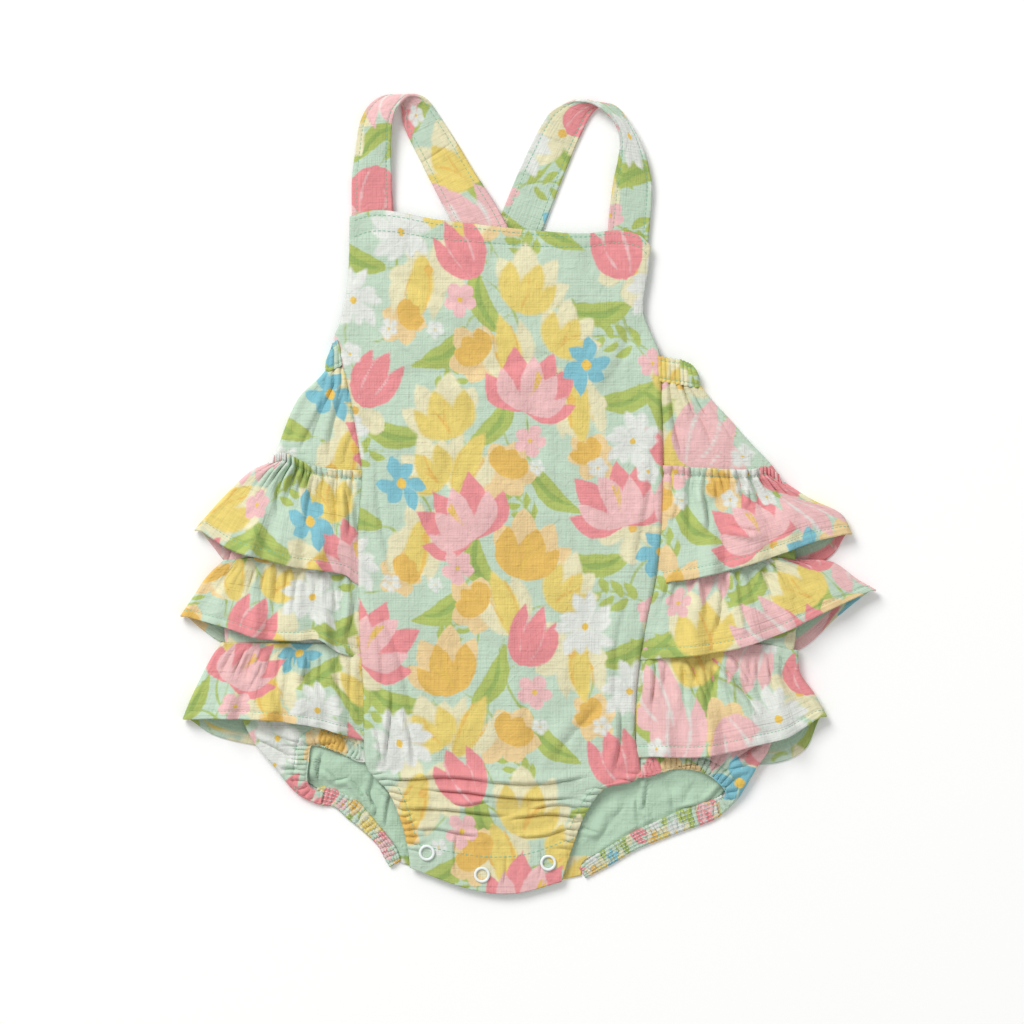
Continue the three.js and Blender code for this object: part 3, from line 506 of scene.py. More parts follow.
# Double-layer cotton muslin, woven loose and printed: matt, crinkled, with a visible fine weave
# and slubs. The printed colours sit in the thread, so they keep its grain; the inside is plain.
def muslinMaterial():
    material, tree = newMaterial("cotton muslin, woven and printed")
    place = node(tree, "ShaderNodeAttribute", attribute_name="flat")
    cloth = node(tree, "ShaderNodeAttribute", attribute_name="cloth")
    parts = node(tree, "ShaderNodeSeparateXYZ", links=[(0, cloth, "Vector")])
    colour = node(tree, "ShaderNodeRGB")
    colour.outputs[0].default_value = (*linear("#C1D6C1"), 1)
    last, output = colour, 0
    for k in range(0, len(inks), 3):
        ink = node(tree, "ShaderNodeAttribute", attribute_name=f"ink{k // 3}")
        split = node(tree, "ShaderNodeSeparateXYZ", links=[(0, ink, "Vector")])
        for i, ink in enumerate(inks[k:k + 3]):
            soft = 1.0 if ink in ("yellow", "cream", "white") else 0.45
            mask = ramp(tree, split, i, soft, -soft, 0.0, 1.0)
            last = node(tree, "ShaderNodeMix", {7: (*linear(inkColours[ink]), 1)},
                        [(0, mask, 0), (6, last, output)], data_type="RGBA")
            output = 2
    tone = ramp(tree, parts, 0, -1.0, 1.0, 0.87, 1.07)
    wash = ramp(tree, noise(tree, place, "Vector", 55.0, 3.0), 0, 0.3, 0.7, 0.93, 1.04)
    printed = shaded(tree, combine(tree, "MULTIPLY", tone, wash), links=[(6, last, 2)])
    face = node(tree, "ShaderNodeMix", {7: (*linear("#B3CEB5"), 1)}, [(0, parts, 1), (6, printed, 2)],
                data_type="RGBA")
    # weave: thread spacing is about 0.5 mm, drawn near 0.8 mm so that it shows, in two stretched noises
    warp = node(tree, "ShaderNodeMapping", {3: (1300.0, 60.0, 1.0)}, [(0, place, "Vector")])
    weft = node(tree, "ShaderNodeMapping", {3: (26.0, 1100.0, 1.0)}, [(0, place, "Vector")])
    threads = combine(tree, "ADD", noise(tree, warp, 0, 1.0, 1.5), noise(tree, weft, 0, 1.0, 1.5))
    grain = ramp(tree, threads, 0, 0.75, 1.25, 0.955, 1.035)
    # the tacking threads that join the two layers, a faint grid about 11 mm apart
    grid = node(tree, "ShaderNodeVectorMath", {1: (90.9, 90.9, 1.0)}, [(0, place, "Vector")],
                operation="MULTIPLY")
    gridParts = node(tree, "ShaderNodeSeparateXYZ", links=[(0, grid, 0)])
    tacks = []
    for axis in (0, 1):
        saw = node(tree, "ShaderNodeMath", {1: 1.0}, [(0, gridParts, axis)], operation="PINGPONG")
        tacks.append(ramp(tree, saw, 0, 0.0, 0.07, 1.0, 0.0))
    shown = ramp(tree, noise(tree, place, "Vector", 38.0, 1.0), 0, 0.42, 0.62, 0.0, 1.0)
    faint = combine(tree, "MULTIPLY", combine(tree, "MAXIMUM", *tacks), shown)
    grained = combine(tree, "MULTIPLY", grain, ramp(tree, faint, 0, 0.0, 1.0, 1.0, 0.97))
    final = shaded(tree, grained, links=[(6, face, 2)])
    # crinkle: small wandering puckers about 3 to 5 mm apart, and the weave's own relief
    crinkles = noise(tree, place, "Vector", 260.0, 2.5, 0.6)
    height = node(tree, "ShaderNodeMath", {1: 2.2}, [(0, crinkles, 0)], operation="MULTIPLY")
    sunk = node(tree, "ShaderNodeMath", {1: -0.5}, [(0, faint, 0)], operation="MULTIPLY")
    relief = combine(tree, "ADD", combine(tree, "ADD", height, threads), sunk)
    shadeWith(tree, {"Roughness": 0.92, "Specular IOR Level": 0.2, "Sheen Weight": 0.08,
                     "Sheen Roughness": 0.5},
              [("Base Color", final, 2), ("Normal", bumpOf(tree, relief, 0.85, 0.00036), 0)])
    return material


# Spun polyester sewing thread, twisted: slightly brighter than the cloth, with a soft gloss
def threadMaterial(name, dye):
    material, tree = newMaterial(name)
    place = node(tree, "ShaderNodeTexCoord")
    twist = node(tree, "ShaderNodeTexWave", {"Scale": 900.0, "Distortion": 1.0}, [(0, place, "Object")],
                 bands_direction="DIAGONAL")
    colour = shaded(tree, ramp(tree, twist, 1, 0.0, 1.0, 0.88, 1.06), {6: (*linear(dye), 1)})
    shadeWith(tree, {"Roughness": 0.55}, [("Base Color", colour, 2)])
    return material


# Moulded acetal snap: white with a pearly, slightly soft gloss and a faint swirl from the mould
def snapMaterial():
    material, tree = newMaterial("acetal snap, moulded")
    swirl = noise(tree, node(tree, "ShaderNodeTexCoord"), "Object", 420.0)
    colour = shaded(tree, ramp(tree, swirl, 0, 0.3, 0.7, 0.94, 1.0), {6: (*linear("#EEF4F2"), 1)})
    shadeWith(tree, {"Roughness": 0.28, "IOR": 1.48, "Coat Weight": 0.3},
              [("Base Color", colour, 2), ("Normal", bumpOf(tree, swirl, 0.1, 0.0001), 0)])
    return material


muslin, snapPlastic = muslinMaterial(), snapMaterial()
thread = threadMaterial("polyester sewing thread, twisted", "#8FC4A8")
paleThread = threadMaterial("polyester overlock thread, twisted", "#CFE3DC")
print("materials made")

layers = {
    "wall": 1.0, "gap": 0.3, "bib": 4.7, "body": 5.6, "tab": 4.3, "floor": 0.5, "second": 1.8, "third": 3.1,
    "underlap": 4.0, "casing": 13.0,
}


# height of the front and of the back of the body at a level y
def frontHeight(y):
    return (layers["bib"] + (layers["body"] - layers["bib"]) * smooth(60, 20, y)
            - (layers["body"] - layers["tab"]) * smooth(-158, -190, y))


def backHeight(y):
    rise = layers["third"] - layers["floor"]
    return layers["floor"] + rise * smooth(34, 15, y) * (1 - smooth(-150, -166, y))


centreFront = {
    "name": "centreFront", "node": "centre_front", "cut": (0.20, 0.39), "area": 0.062, "held": "laid",
    "rests": ["back_panel"], "shift": (20.0, 60.0), "length": 372.0, "grid": (330, 144),
    "rowShares": [[0, 0], [0.68, 0.8], [1, 1]], "puff": 2.4, "tuck": 0.7, "seamRise": 1.5, "hemRow": 9.2,
    "rows": [
        [-99.7, 155, 68.5, 138.5], [-100.2, 127.7, 67, 124], [-101.9, 110, 64.2, 105], [-105, 96, 66.2, 95],
        [-108.1, 86, 73.4, 77.8], [-101.6, 65, 74, 60], [-96.5, 39, 74.8, 34], [-92.6, 11, 75, 10.6],
        [-94.9, -20, 74, -22], [-94.6, -50, 71, -47], [-94.3, -76, 64.5, -78], [-92, -107, 60.4, -108],
        [-91.6, -135, 59.4, -134], [-89.6, -153.4, 61.5, -158], [-78.4, -166, 43, -164.4],
        [-71.3, -182, 32, -179], [-67.2, -198, 25.2, -196], [-66, -209, 18.6, -216.8],
    ],
    "neckline": [
        [-99.7, 155], [-88, 158.4], [-75.6, 158], [-51.5, 153.4], [-25.8, 150.4], [7.8, 146.9], [31.9, 145.6],
        [49.8, 147.3], [62, 144.6], [68.5, 138.5],
    ],
    "hem": [[-66, -209], [-48.7, -215.6], [-34.2, -220.5], [-18.5, -223.5], [-4, -223], [18.6, -216.8]],
    "creases": [
        [-78, 120, -20, 96, 6, 0.9], [-60, 60, 20, 76, 8, 0.8], [-88, -60, -68, -130, 4, 1.1],
        [-70, -100, -30, -150, 5, 1.0], [40, -110, 12, -150, 5, 1.0], [54, -60, 44, -140, 4, 1.0],
        [-20, 10, 30, -20, 9, 0.7], [-84, 20, -80, -50, 3, 0.9], [64, 24, 60, -46, 3, 0.9],
        [-30, -60, 10, -90, 9, 0.7], [30, 120, 56, 90, 6, 0.7], [-92, 92, -60, 70, 5, 0.7],
        [-80.5, -104, -79, -152, 1.9, 1.9], [-70, -120, -67, -152, 2.2, 1.4],
        [-88, -128, -84, -152, 1.8, 1.8],
        [50, -116, 46, -154, 2.2, 2.0], [-40.5, -190, -42, -212, 1.5, 1.2], [-13, -200, -16, -219, 1.8, 1.1],
        [6, -196, 5, -214, 1.4, 0.9],
        [-88, -70, -84, -112, 2.6, 0.9], [-10, -96, 4, -146, 6, 0.8], [56, 96, 36, 60, 6, 0.7],
        [-50, 30, -62, -20, 7, 0.6], [20, 50, 44, 10, 7, 0.6],
    ],
    "tucks": [
        [-80, -157.5, -20, -160, 3.4, 2.2], [-58, -165.5, 26, -169.5, 3.6, 2.4],
        [-26, -161.5, 34, -158, 3.0, 1.8],
        [-72, -176.5, -12, -177.5, 3.2, 2.3], [-10, -180.5, 30, -179.5, 3.0, 2.1],
        [-66, -187.5, -28, -189.5, 2.6, 1.6],
        [-6, -190.5, 26, -188, 2.6, 1.4], [-44, -171.5, -22, -173, 2.2, 1.2], [2, -174.0, 30, -175, 2.2, 1.4],
    ],
}
centreEdges = curveThrough(centreFront["rows"])


def buildCentreFront():
    spec = centreFront
    rows, columns = spec["grid"]
    # two thirds of the rows lie above the tucks, the rest closer together below
    down, across = shareGrid(rows, columns, spec["rowShares"])
    rowAt = lambda share: np.interp(share, *np.array(spec["rowShares"]).T[::-1]) * (rows - 1)
    place = patchBetween(curveThrough(spec["neckline"]), curveThrough(spec["hem"]),
                         lambda t: centreEdges(t)[..., :2], lambda t: centreEdges(t)[..., 2:], across, down)
    x, y = place[..., 0], place[..., 1]
    width = np.linalg.norm(place[:, -1] - place[:, 0], axis=1)[:, None]
    edge = np.minimum(across, 1 - across) * width
    swell = np.sin(math.pi * np.clip(across, 0, 1)) ** 0.8
    puff = spec["puff"] * smooth(165, 90, y) * smooth(-196, -150, y) * swell
    seam = smooth(84, 70, y) * smooth(-158, -148, y)
    lift = spec["seamRise"] * seam * smooth(40, 0, edge) - 1.0 * smooth(2.6, 0, edge) * (0.45 + 0.55 * seam)
    ridge = 0.55 * seam * bell((edge - 2.2) / 1.3)
    tuckZone = smooth(-150, -160, y) * smooth(-198, -188, y)
    tucks = pleats(x, y, spec["tucks"]) * smooth(0, 6, edge)
    wave = spec["tuck"] * 0.5 * tuckZone * swell * (1 + np.cos((y + 168) * 2 * math.pi / 12.6 + across * 2))
    legs = smooth(-152, -158, y) * smooth(-204, -196, y)
    pucker = 2.3 * legs * bell((edge - 4.2) / 4.8) * puckerRow(y / 3.9 + 0.4 * softNoise(x, y, 8, 5))
    fromTop = down * spec["length"]
    hem = 0.35 * smooth(9.6, 8.8, fromTop) - 0.3 * bell((fromTop - spec["hemRow"]) / 0.8)
    soft = 1.25 * creases(x, y, spec["creases"]) + 1.7 * crinkle(x, y, 11)
    height = frontHeight(y) + puff + lift + ridge + tucks + wave + pucker + hem
    height = height + smooth(0, 6, edge) * soft * (1 - 0.5 * smooth(-190, -200, y))
    outer, normals = clothPiece(spec, np.stack([x, y, height], axis=-1), 0.95, place)
    column = np.linspace(2, columns - 3, 400)
    shares = 2.3 / spec["length"], spec["hemRow"] / spec["length"], 0.945
    runs = [runOn(outer, normals, rowAt(share), column) for share in shares]
    legRows = rowAt(np.linspace(0.845, 0.93, 200))
    stitchPiece("front", runs + [runOn(outer, normals, legRows, side) for side in (8.6, columns - 9.6)])


buildCentreFront()
print("centre front made")

sideCut = {"cut": (0.105, 0.25), "area": 0.0185, "held": "laid", "rests": ["back_panel"], "legRow": 10}
sideFronts = {
    "left": {
        **sideCut, "name": "sideFrontLeft", "node": "side_front_left", "out": -1, "shift": (60.0, 10.0),
        "seed": 31,
        "rows": [
            [-104.6, 72.6, -112.6, 69.2], [-101.6, 65, -117, 64.2], [-98.7, 51.5, -128.2, 53],
            [-96, 33, -137.2, 32.5],
            [-92.6, 11, -143.5, 12], [-94, -12, -155.5, -12], [-94.6, -37, -167, -37],
            [-94.4, -60, -169.5, -60],
            [-93.5, -88, -169, -82], [-91.8, -120, -167, -100], [-92, -149, -164, -113],
            [-104, -144.3, -158.5, -128],
            [-112, -141.4, -154.5, -136], [-120.4, -140, -150.5, -142], [-122.6, -150, -141, -153],
            [-123.4, -158, -134.5, -161.5], [-122.6, -162.6, -128.4, -167.8],
            [-119.2, -165.6, -122.2, -171.4],
            [-114.6, -167.0, -116.8, -173.4],
        ],
        "creases": [[-104, 62, -113, 22, 3, 1.2], [-118, 56, -128, 24, 3, 0.9],
                    [-111, 64, -121, 30, 2.5, 1.0],
                    [-100, -134, -140, -140, 2.5, 1.1], [-126, -138, -146, -130, 2.5, 1.2],
                    [-98, 40, -104, 18, 2.5, 0.8],
                    [-134, -146, -152, -134, 2.2, 1.2], [-127, -152, -140, -152, 2.0, 1.0]],
    },
    "right": {
        **sideCut, "name": "sideFrontRight", "node": "side_front_right", "out": 1, "shift": (95.0, 120.0),
        "seed": 41,
        "rows": [
            [73.9, 63.5, 96.4, 60], [74.2, 52, 104, 50.5], [74.5, 42, 112.5, 41.5], [74.8, 30, 123, 29.5],
            [75, 10.6, 139.5, 10.6], [74.5, -11, 146, -12], [73, -36, 149, -37], [68.1, -63, 150, -63],
            [63.3, -91, 148, -88], [60, -118, 143, -112], [62.4, -157.6, 137, -134], [74, -155, 134, -143],
            [82, -153.6, 131, -148], [92, -154.2, 127.7, -152.5], [100, -156.9, 124, -159],
            [105.8, -160.9, 120.5, -165], [109.8, -165.4, 117.6, -169.6], [109.6, -169.8, 113.4, -174.4],
            [105.6, -173.2, 108.4, -178.8],
        ],
        "creases": [[79, 60, 83, 22, 2.6, 1.2], [87, 58, 99, 26, 3, 1.0], [96, 52, 120, 22, 3, 0.9],
                    [83, 61, 92, 44, 1.8, 1.4], [91, 58, 98, 44, 1.6, 1.2], [108, 40, 128, 16, 3, 0.8],
                    [112, -152, 132, -142, 2.2, 1.2], [108, -158, 124, -152, 2.0, 1.1]],
    },
}


# x of the centre front's left or right edge at a level y
def centreSeam(out, y):
    edge = centreEdges(np.linspace(0, 1, 800))
    column = 0 if out < 0 else 2
    return np.interp(-y, -edge[:, column + 1], edge[:, column])


def buildSideFront(spec):
    edges = curveThrough(spec["rows"])
    out = spec["out"]
    flatColumns, arcColumns, underColumns = 104, 9, 3
    steps = np.linalg.norm(np.diff(np.array(spec["rows"], float), axis=0), axis=1)
    legShare = steps[:spec["legRow"]].sum() / steps.sum()
    share = np.concatenate([np.linspace(0, legShare, 84)[:-1], np.linspace(legShare, 1, 140)])[:, None]
    rows = len(share)
    row = edges(share[:, 0])
    openX, seamY, foldX, foldY = (row[:, k:k + 1] for k in range(4))
    onSeam = share < legShare - 1e-6
    drawnIn = np.where(onSeam, 3.2, 3.0 * smooth(legShare + 0.02, legShare, share))
    seamX = np.where(onSeam, centreSeam(out, seamY), openX) - out * drawnIn
    closing = smooth(0.93, 1.0, share)
    high, low = mix(frontHeight(foldY), 2.6, closing), backHeight(foldY)
    radius = mix((high - low) / 2, 0.9, closing)
    t = np.linspace(0, 1, flatColumns)[None, :] ** 1.35
    x = mix(seamX, foldX - out * radius, t)
    y = mix(seamY, foldY, t)
    z = mix(mix(frontHeight(seamY), 2.6, closing), high, t)
    fromSeam = np.abs(x - seamX)
    z = z - 1.5 * onSeam * smooth(7, 0, fromSeam)
    # the leg opening's edge, cut fine: each point's distance from it, and where along it that is
    opening = edges(np.linspace(legShare, 1, 220))[:, :2]
    travel = travelled(opening)
    gap = np.hypot(x[..., None] - opening[:, 0], y[..., None] - opening[:, 1])
    fromOpening, alongLeg = gap.min(axis=2), travel[gap.argmin(axis=2)]
    alongLeg = alongLeg + 0.5 * softNoise(x, y, 6, spec["seed"] + 9)
    zone = smooth(0.0, 1.6, fromOpening) * smooth(13, 6, fromOpening) + 0.35 * smooth(22, 10, fromOpening)
    puckers = 1.25 * zone * puckerRow(alongLeg / 2.7)
    gathers = 2.3 * smooth(48, 64, y) * puckerRow(x / 4.6 + 0.45 * softNoise(x, y, 8, spec["seed"]))
    seamBand = -0.7 * bell((fromOpening - 7.8) / 0.8)
    away = smooth(0, 2.5, fromSeam) * (1 - smooth(0.9, 1, t))
    covered = smooth(12, 4, y) * smooth(-140, -126, y)
    relief = 1.3 * crinkle(x, y, spec["seed"]) + 1.3 * creases(x, y,
                                                               spec["creases"]) + gathers + puckers + seamBand
    bed, z = z, z + away * relief * (1 - 0.85 * covered)
    turn = math.pi * np.linspace(0, 1, arcColumns + 1)[None, 1:]
    arcX = foldX - out * (radius - radius * np.sin(turn))
    arcZ = (high + low) / 2 + radius * np.cos(turn)
    underX = foldX - out * (radius + layers["underlap"] * np.linspace(0, 1, underColumns + 1)[None, 1:])
    join = lambda flatPart, arcPart, underPart: np.concatenate([flatPart, arcPart, underPart], axis=1)
    again = lambda column, count: np.repeat(column, count, axis=1)
    X = join(x, arcX, underX)
    bed, Z = (join(face, arcZ, again(low, underColumns)) for face in (bed, z))
    middle = np.stack([X, join(y, again(foldY, arcColumns), again(foldY, underColumns)), Z], axis=-1)
    if out < 0:
        middle = middle[:, ::-1]
    run = np.cumsum(np.hypot(np.diff(X, axis=1), np.diff(bed, axis=1)), axis=1)
    run = X[:, :1] + out * np.concatenate([np.zeros((rows, 1)), run], axis=1)
    flat = np.stack([run[:, ::-1] if out < 0 else run, middle[..., 1]], axis=-1)
    outer, normals = clothPiece(spec, middle, 0.95, flat)
    # the stitch row keeps its distance from the opening, on the outer face of the flat part
    ahead = np.gradient(opening, axis=0)
    ahead /= np.linalg.norm(ahead, axis=1, keepdims=True)
    line = opening + 7.8 * out * np.stack([-ahead[:, 1], ahead[:, 0]], axis=-1)
    face, faceNormals = [(g[:, ::-1] if out < 0 else g)[:, :flatColumns].reshape(-1, 3) for g in (outer,
                                                                                                  normals)]
    reach = np.hypot(face[:, 0] - line[:, :1], face[:, 1] - line[:, 1:])
    nearest, kept = reach.argmin(axis=1), reach.min(axis=1) < 0.8
    level = np.convolve(np.pad(face[nearest, 2], 2, mode="edge"), np.ones(5) / 5, mode="valid")
    return np.column_stack([line, level])[kept], faceNormals[nearest][kept]


legRuns = [buildSideFront(sideFronts[side]) for side in ("left", "right")]
stitchPiece("legs", legRuns)
print("side fronts made")

backPanel = {
    "name": "backPanel", "node": "back_panel", "cut": (0.33, 0.30), "area": 0.08, "held": "laid",
    "rests": ["ruffle_upper", "ruffle_middle", "ruffle_lower"], "shift": (0.0, 30.0),
    "seamEnd": 0.88, "seamShare": 0.72, "facing": -202.5, "grid": (190, 180),
    "rowShares": [[0, 0], [0.33, 0.66], [1, 1]],
    "legs": [
        [-119.5, -163.8, 104.5, -171.2], [-104.5, -170.2, 87.9, -176.2], [-95.6, -174.5, 73.9, -182.4],
        [-85.6, -184, 57.5, -190.2], [-77.4, -194, 42.7, -199.2], [-73.2, -199.6, 31, -205.6],
        [-71.6, -206.4, 29.6, -213.6],
    ],
    "hem": [[-71.6, -206.4], [-58, -210.5], [-40, -216.5], [-20, -220.5], [0, -219.8], [29.6, -213.6]],
    "casing": {"leftX": -112.6, "leftY": 76.5, "rightX": 96.6, "rightY": 67.2, "rise": 2.0},
    "creases": [
        [-116.5, -143, -119, -161, 1.5, 2.3], [-114.5, -154, -108.5, -161, 1.6, 1.6],
        [-109, -161, -100, -160, 1.6, 1.5],
        [-101, -159.5, -93.5, -171, 1.6, 1.7], [-88, -156, -90.8, -168, 1.5, 1.8],
        [-90.8, -166, -86.4, -177, 1.5, 1.8],
        [-86.6, -175, -88.6, -185, 1.5, 1.6], [-83, -162, -77, -170, 1.4, 1.5],
        [-77.4, -168, -82.4, -187, 1.5, 1.7],
        [-95, -172, -92.6, -183, 1.5, 1.3], [-92.6, -181, -82, -194, 1.6, 1.4],
        [64.2, -156, 64.8, -177, 1.8, 1.8], [65.2, -176, 70.6, -186, 1.7, 1.3],
        [59.4, -170, 61.4, -188, 1.4, 0.9],
        [107.5, -161, 98, -173.5, 1.4, 2.0], [97, -173, 87, -176, 1.4, 1.1],
        [28, -186.5, 39, -190.5, 1.6, 1.2],
        [44, -178, 36, -196, 3, 0.9], [90, -160, 86, -172, 3.2, 0.8], [52, -170, 40, -192, 3.4, 0.8],
        [76, -164, 80, -180, 2.4, 0.8],
    ],
}


def casingLevel(x):
    c = backPanel["casing"]
    t = np.clip((x - c["leftX"]) / (c["rightX"] - c["leftX"]), 0, 1)
    return mix(c["leftY"], c["rightY"], t) + c["rise"] * np.sin(math.pi * t)


def buildBackPanel():
    spec = backPanel

    def seams(t):
        ends = []
        for side in ("left", "right"):
            out = sideFronts[side]["out"]
            row = curveThrough(sideFronts[side]["rows"])(np.asarray(t) * spec["seamEnd"])
            foldX, foldY = row[..., 2], row[..., 3]
            radius = (frontHeight(foldY) - backHeight(foldY)) / 2
            ends += [foldX - out * (radius + layers["underlap"] + 2 * layers["gap"]), foldY]
        return np.stack(ends, axis=-1)

    legs = curveThrough([list(seams(1.0))] + spec["legs"])

    def edges(t):
        t = np.asarray(t, float)
        low = seams(np.clip(t / spec["seamShare"], 0, 1))
        high = legs(np.clip((t - spec["seamShare"]) / (1 - spec["seamShare"]), 0, 1))
        return np.where((t < spec["seamShare"])[..., None], low, high)

    # straight rows from edge to edge; the hem's own bow comes in over the last rows, the top's over the first
    down, across = shareGrid(*spec["grid"], spec["rowShares"])
    line, hem = edges(down), curveThrough(spec["hem"])
    place = mix(line[..., :2], line[..., 2:], across[..., None])
    place = place + (hem(across) - mix(hem(0.0), hem(1.0), across[..., None])) * smooth(0.86, 1, down)[...,
                                                                                                       None]
    ends = edges(0.0)
    top = casingLevel(mix(ends[0], ends[2], across)) - layers["casing"] / 2 - 2 * layers["gap"]
    place[..., 1] += (top - mix(ends[1], ends[3], across)) * smooth(0.25, 0, down)
    x, y = place[..., 0], place[..., 1]
    shown = smooth(-130, -150, y)
    wrinkles = 0.9 + 1.1 * creases(x, y, spec["creases"]) + 1.5 * crinkle(x, y, 51) + 0.8 * softNoise(x, y, 6,
                                                                                                      57)
    edge = np.minimum(across, 1 - across)
    room = smooth(-206, -196, y) * smooth(0, 0.04, edge)
    gathers = 0.45 * smooth(18, 34, y) * (0.55 + puckerRow(x / 7 + 0.5 * softNoise(x, y, 12, 58))) * smooth(0,
                                                                                                            0.05, edge)
    height = backHeight(y) + gathers + shown * 0.5 * (wrinkles + np.sqrt(wrinkles ** 2 + 0.4)) * room
    # its outer face lies downwards, so the columns run the other way
    middle = np.stack([x, y, height], axis=-1)[:, ::-1]
    flat = np.stack([-middle[..., 0], middle[..., 1]], axis=-1)
    clothPiece(spec, middle, 0.95, flat, middle[..., 1] - spec["facing"])


buildBackPanel()
print("back panel made")

tierCut = {
    "cut": (0.70, 0.058), "held": "gathered", "rests": ["side_front_left", "side_front_right"],
}
ruffles = {
    "seat": 1.3, "lift": 3.6, "stack": 1.6, "wave": 2.0, "depth": 54.0, "hem": 5.2,
    "tiers": [
        {
            **tierCut, "name": "ruffleUpper", "node": "ruffle_upper", "gathers": 20, "gatherStart": 0.04,
            "top": 10, "phase": 0.4, "back": 0.5, "clear": 0.0,
            "shift": (12.0, 88.0), "seed": 61, "curl": 3.4, "header": 0.085,
            "folds": [[-106, 5, -100.5, -22, 1.9, 1.9], [-140.6, 9, -142.4, -12, 2.4, 1.2],
                      [-97, -1, -95.8, -28, 1.6, 1.4],
                      [94.8, 2, 99.8, -21, 1.9, 2.1], [102.8, 9, 104.6, -3, 1.6, 1.4],
                      [120.6, 6, 123.8, -7, 1.8, 1.5],
                      [111, -18, 130, -24, 2.4, 1.4], [-122, 4, -126, -16, 2.2, 1.1],
                      [82, 2, 80, -16, 2.0, 1.2]],
            "left": [[-93.4, 8.6, -95.2, -48.2], [-103, 9, -102.8, -45], [-113, 10, -116, -42.6],
                     [-123.4, 12.4, -130.5, -41], [-132, 16, -147, -37], [-139, 18.6, -168.6, -31.4],
                     [-145, 17, -186.5, -20.5]],
            "right": [[75.6, 11.6, 73.4, -47.2], [88, 10.6, 85.4, -48.4], [101, 9.8, 105, -44.6],
                      [114, 9.2, 122.6, -40], [126, 9.2, 141.7, -34], [136, 10.6, 161.6, -27],
                      [143.6, 6, 181, -22.6]],
            "leftFold": [[-145, 17], [-155, 12.3], [-171.4, -3.4], [-186.5, -20.5]],
            "rightFold": [[143.6, 6], [158.5, -3.4], [175, -11.6], [181, -22.6]],
            "backHem": [[-186.5, -20.5], [-178.6, -29.7], [-168, -39], [-120, -47], [0, -50], [120, -47],
                        [160, -40],
                        [173.6, -33], [181, -22.6]],
        },
        {
            **tierCut, "name": "ruffleMiddle", "node": "ruffle_middle", "gathers": 13, "gatherStart": 0.3,
            "top": -36, "phase": 2.1, "back": 1.8, "clear": -52.0,
            "shift": (70.0, 20.0), "seed": 71, "curl": 1.0, "header": 0.0,
            "folds": [[-99.4, -52, -101.6, -82, 1.9, 1.5], [-112, -48, -108, -66, 2.2, 1.1],
                      [-146, -44, -150, -66, 2.4, 1.0],
                      [76.6, -44, 75.4, -60, 2.0, 1.6], [106.6, -48, 102.6, -77, 2.3, 1.7],
                      [117.4, -56, 120.6, -82, 2.5, 1.2],
                      [140, -44, 150, -58, 2.2, 1.1]],
            "left": [[-95.2, -36.4, -94.6, -91], [-104, -36.2, -106, -88.4], [-117, -36, -116, -81.6],
                     [-131, -35.8, -130, -81.9], [-145, -35.6, -151, -80.8], [-158, -35.6, -170, -75],
                     [-169.5, -36.8, -194.3, -68.5]],
            "right": [[73.4, -35.8, 64.2, -91.8], [86, -35.6, 82, -91.3], [99, -35.4, 103, -89],
                      [112, -35.2, 122, -85], [126, -35.2, 143, -77.6], [140, -35.4, 166, -67],
                      [152, -37, 194.5, -54]],
            "leftFold": [[-169.5, -36.8], [-179.8, -47], [-187.8, -59], [-194.3, -68.5]],
            "rightFold": [[152, -37], [170, -38.4], [184, -48], [194.5, -54]],
            "backHem": [[-194.3, -68.5], [-184.8, -76], [-171, -83.4], [-120, -92], [0, -95], [110, -93],
                        [150, -88],
                        [172.5, -70], [194.5, -54]],
        },
        {
            **tierCut, "name": "ruffleLower", "node": "ruffle_lower", "gathers": 13, "gatherStart": 0.3,
            "top": -84, "phase": 4.3, "back": 1.8, "clear": -97.0,
            "shift": (130.0, 140.0), "seed": 81, "curl": 1.2, "header": 0.0,
            "folds": [[-125.4, -88, -128.2, -106, 1.9, 1.8], [-108.4, -96, -106.8, -118, 2.2, 1.1],
                      [-150, -90, -158, -112, 2.4, 1.2],
                      [87.4, -91, 98.2, -121, 1.9, 2.1], [69.2, -92, 67.6, -116, 1.7, 1.8],
                      [100.4, -92, 127, -125, 2.6, 2.5],
                      [112, -89, 122, -107, 2.1, 1.6], [137.4, -88, 147, -104, 2.0, 1.5]],
            "left": [[-94.8, -84, -93, -136.6], [-104, -83.8, -105, -133.8], [-117, -83.6, -118, -130.2],
                     [-131, -83.4, -136, -127.4], [-145, -83.2, -154, -126], [-158, -83, -173, -125.6],
                     [-171, -83, -192.9, -126]],
            "right": [[64.6, -84.4, 62.4, -146], [78, -84.2, 76, -146.8], [91, -84, 92, -147.2],
                      [104, -83.8, 109, -145.2], [118, -83.8, 126, -141], [135, -84, 147, -136],
                      [150.5, -87, 166.9, -124.5]],
            "leftFold": [[-171, -83], [-177, -92], [-187.6, -113], [-192.9, -126]],
            "rightFold": [[150.5, -87], [151.8, -100], [160, -112], [166.9, -124.5]],
            "backHem": [[-192.9, -126], [-179, -134.4], [-152.3, -140.6], [-110, -146], [0, -148], [80, -150],
                        [133, -151.4], [155.7, -143.4], [166.9, -124.5]],
        },
    ],
}


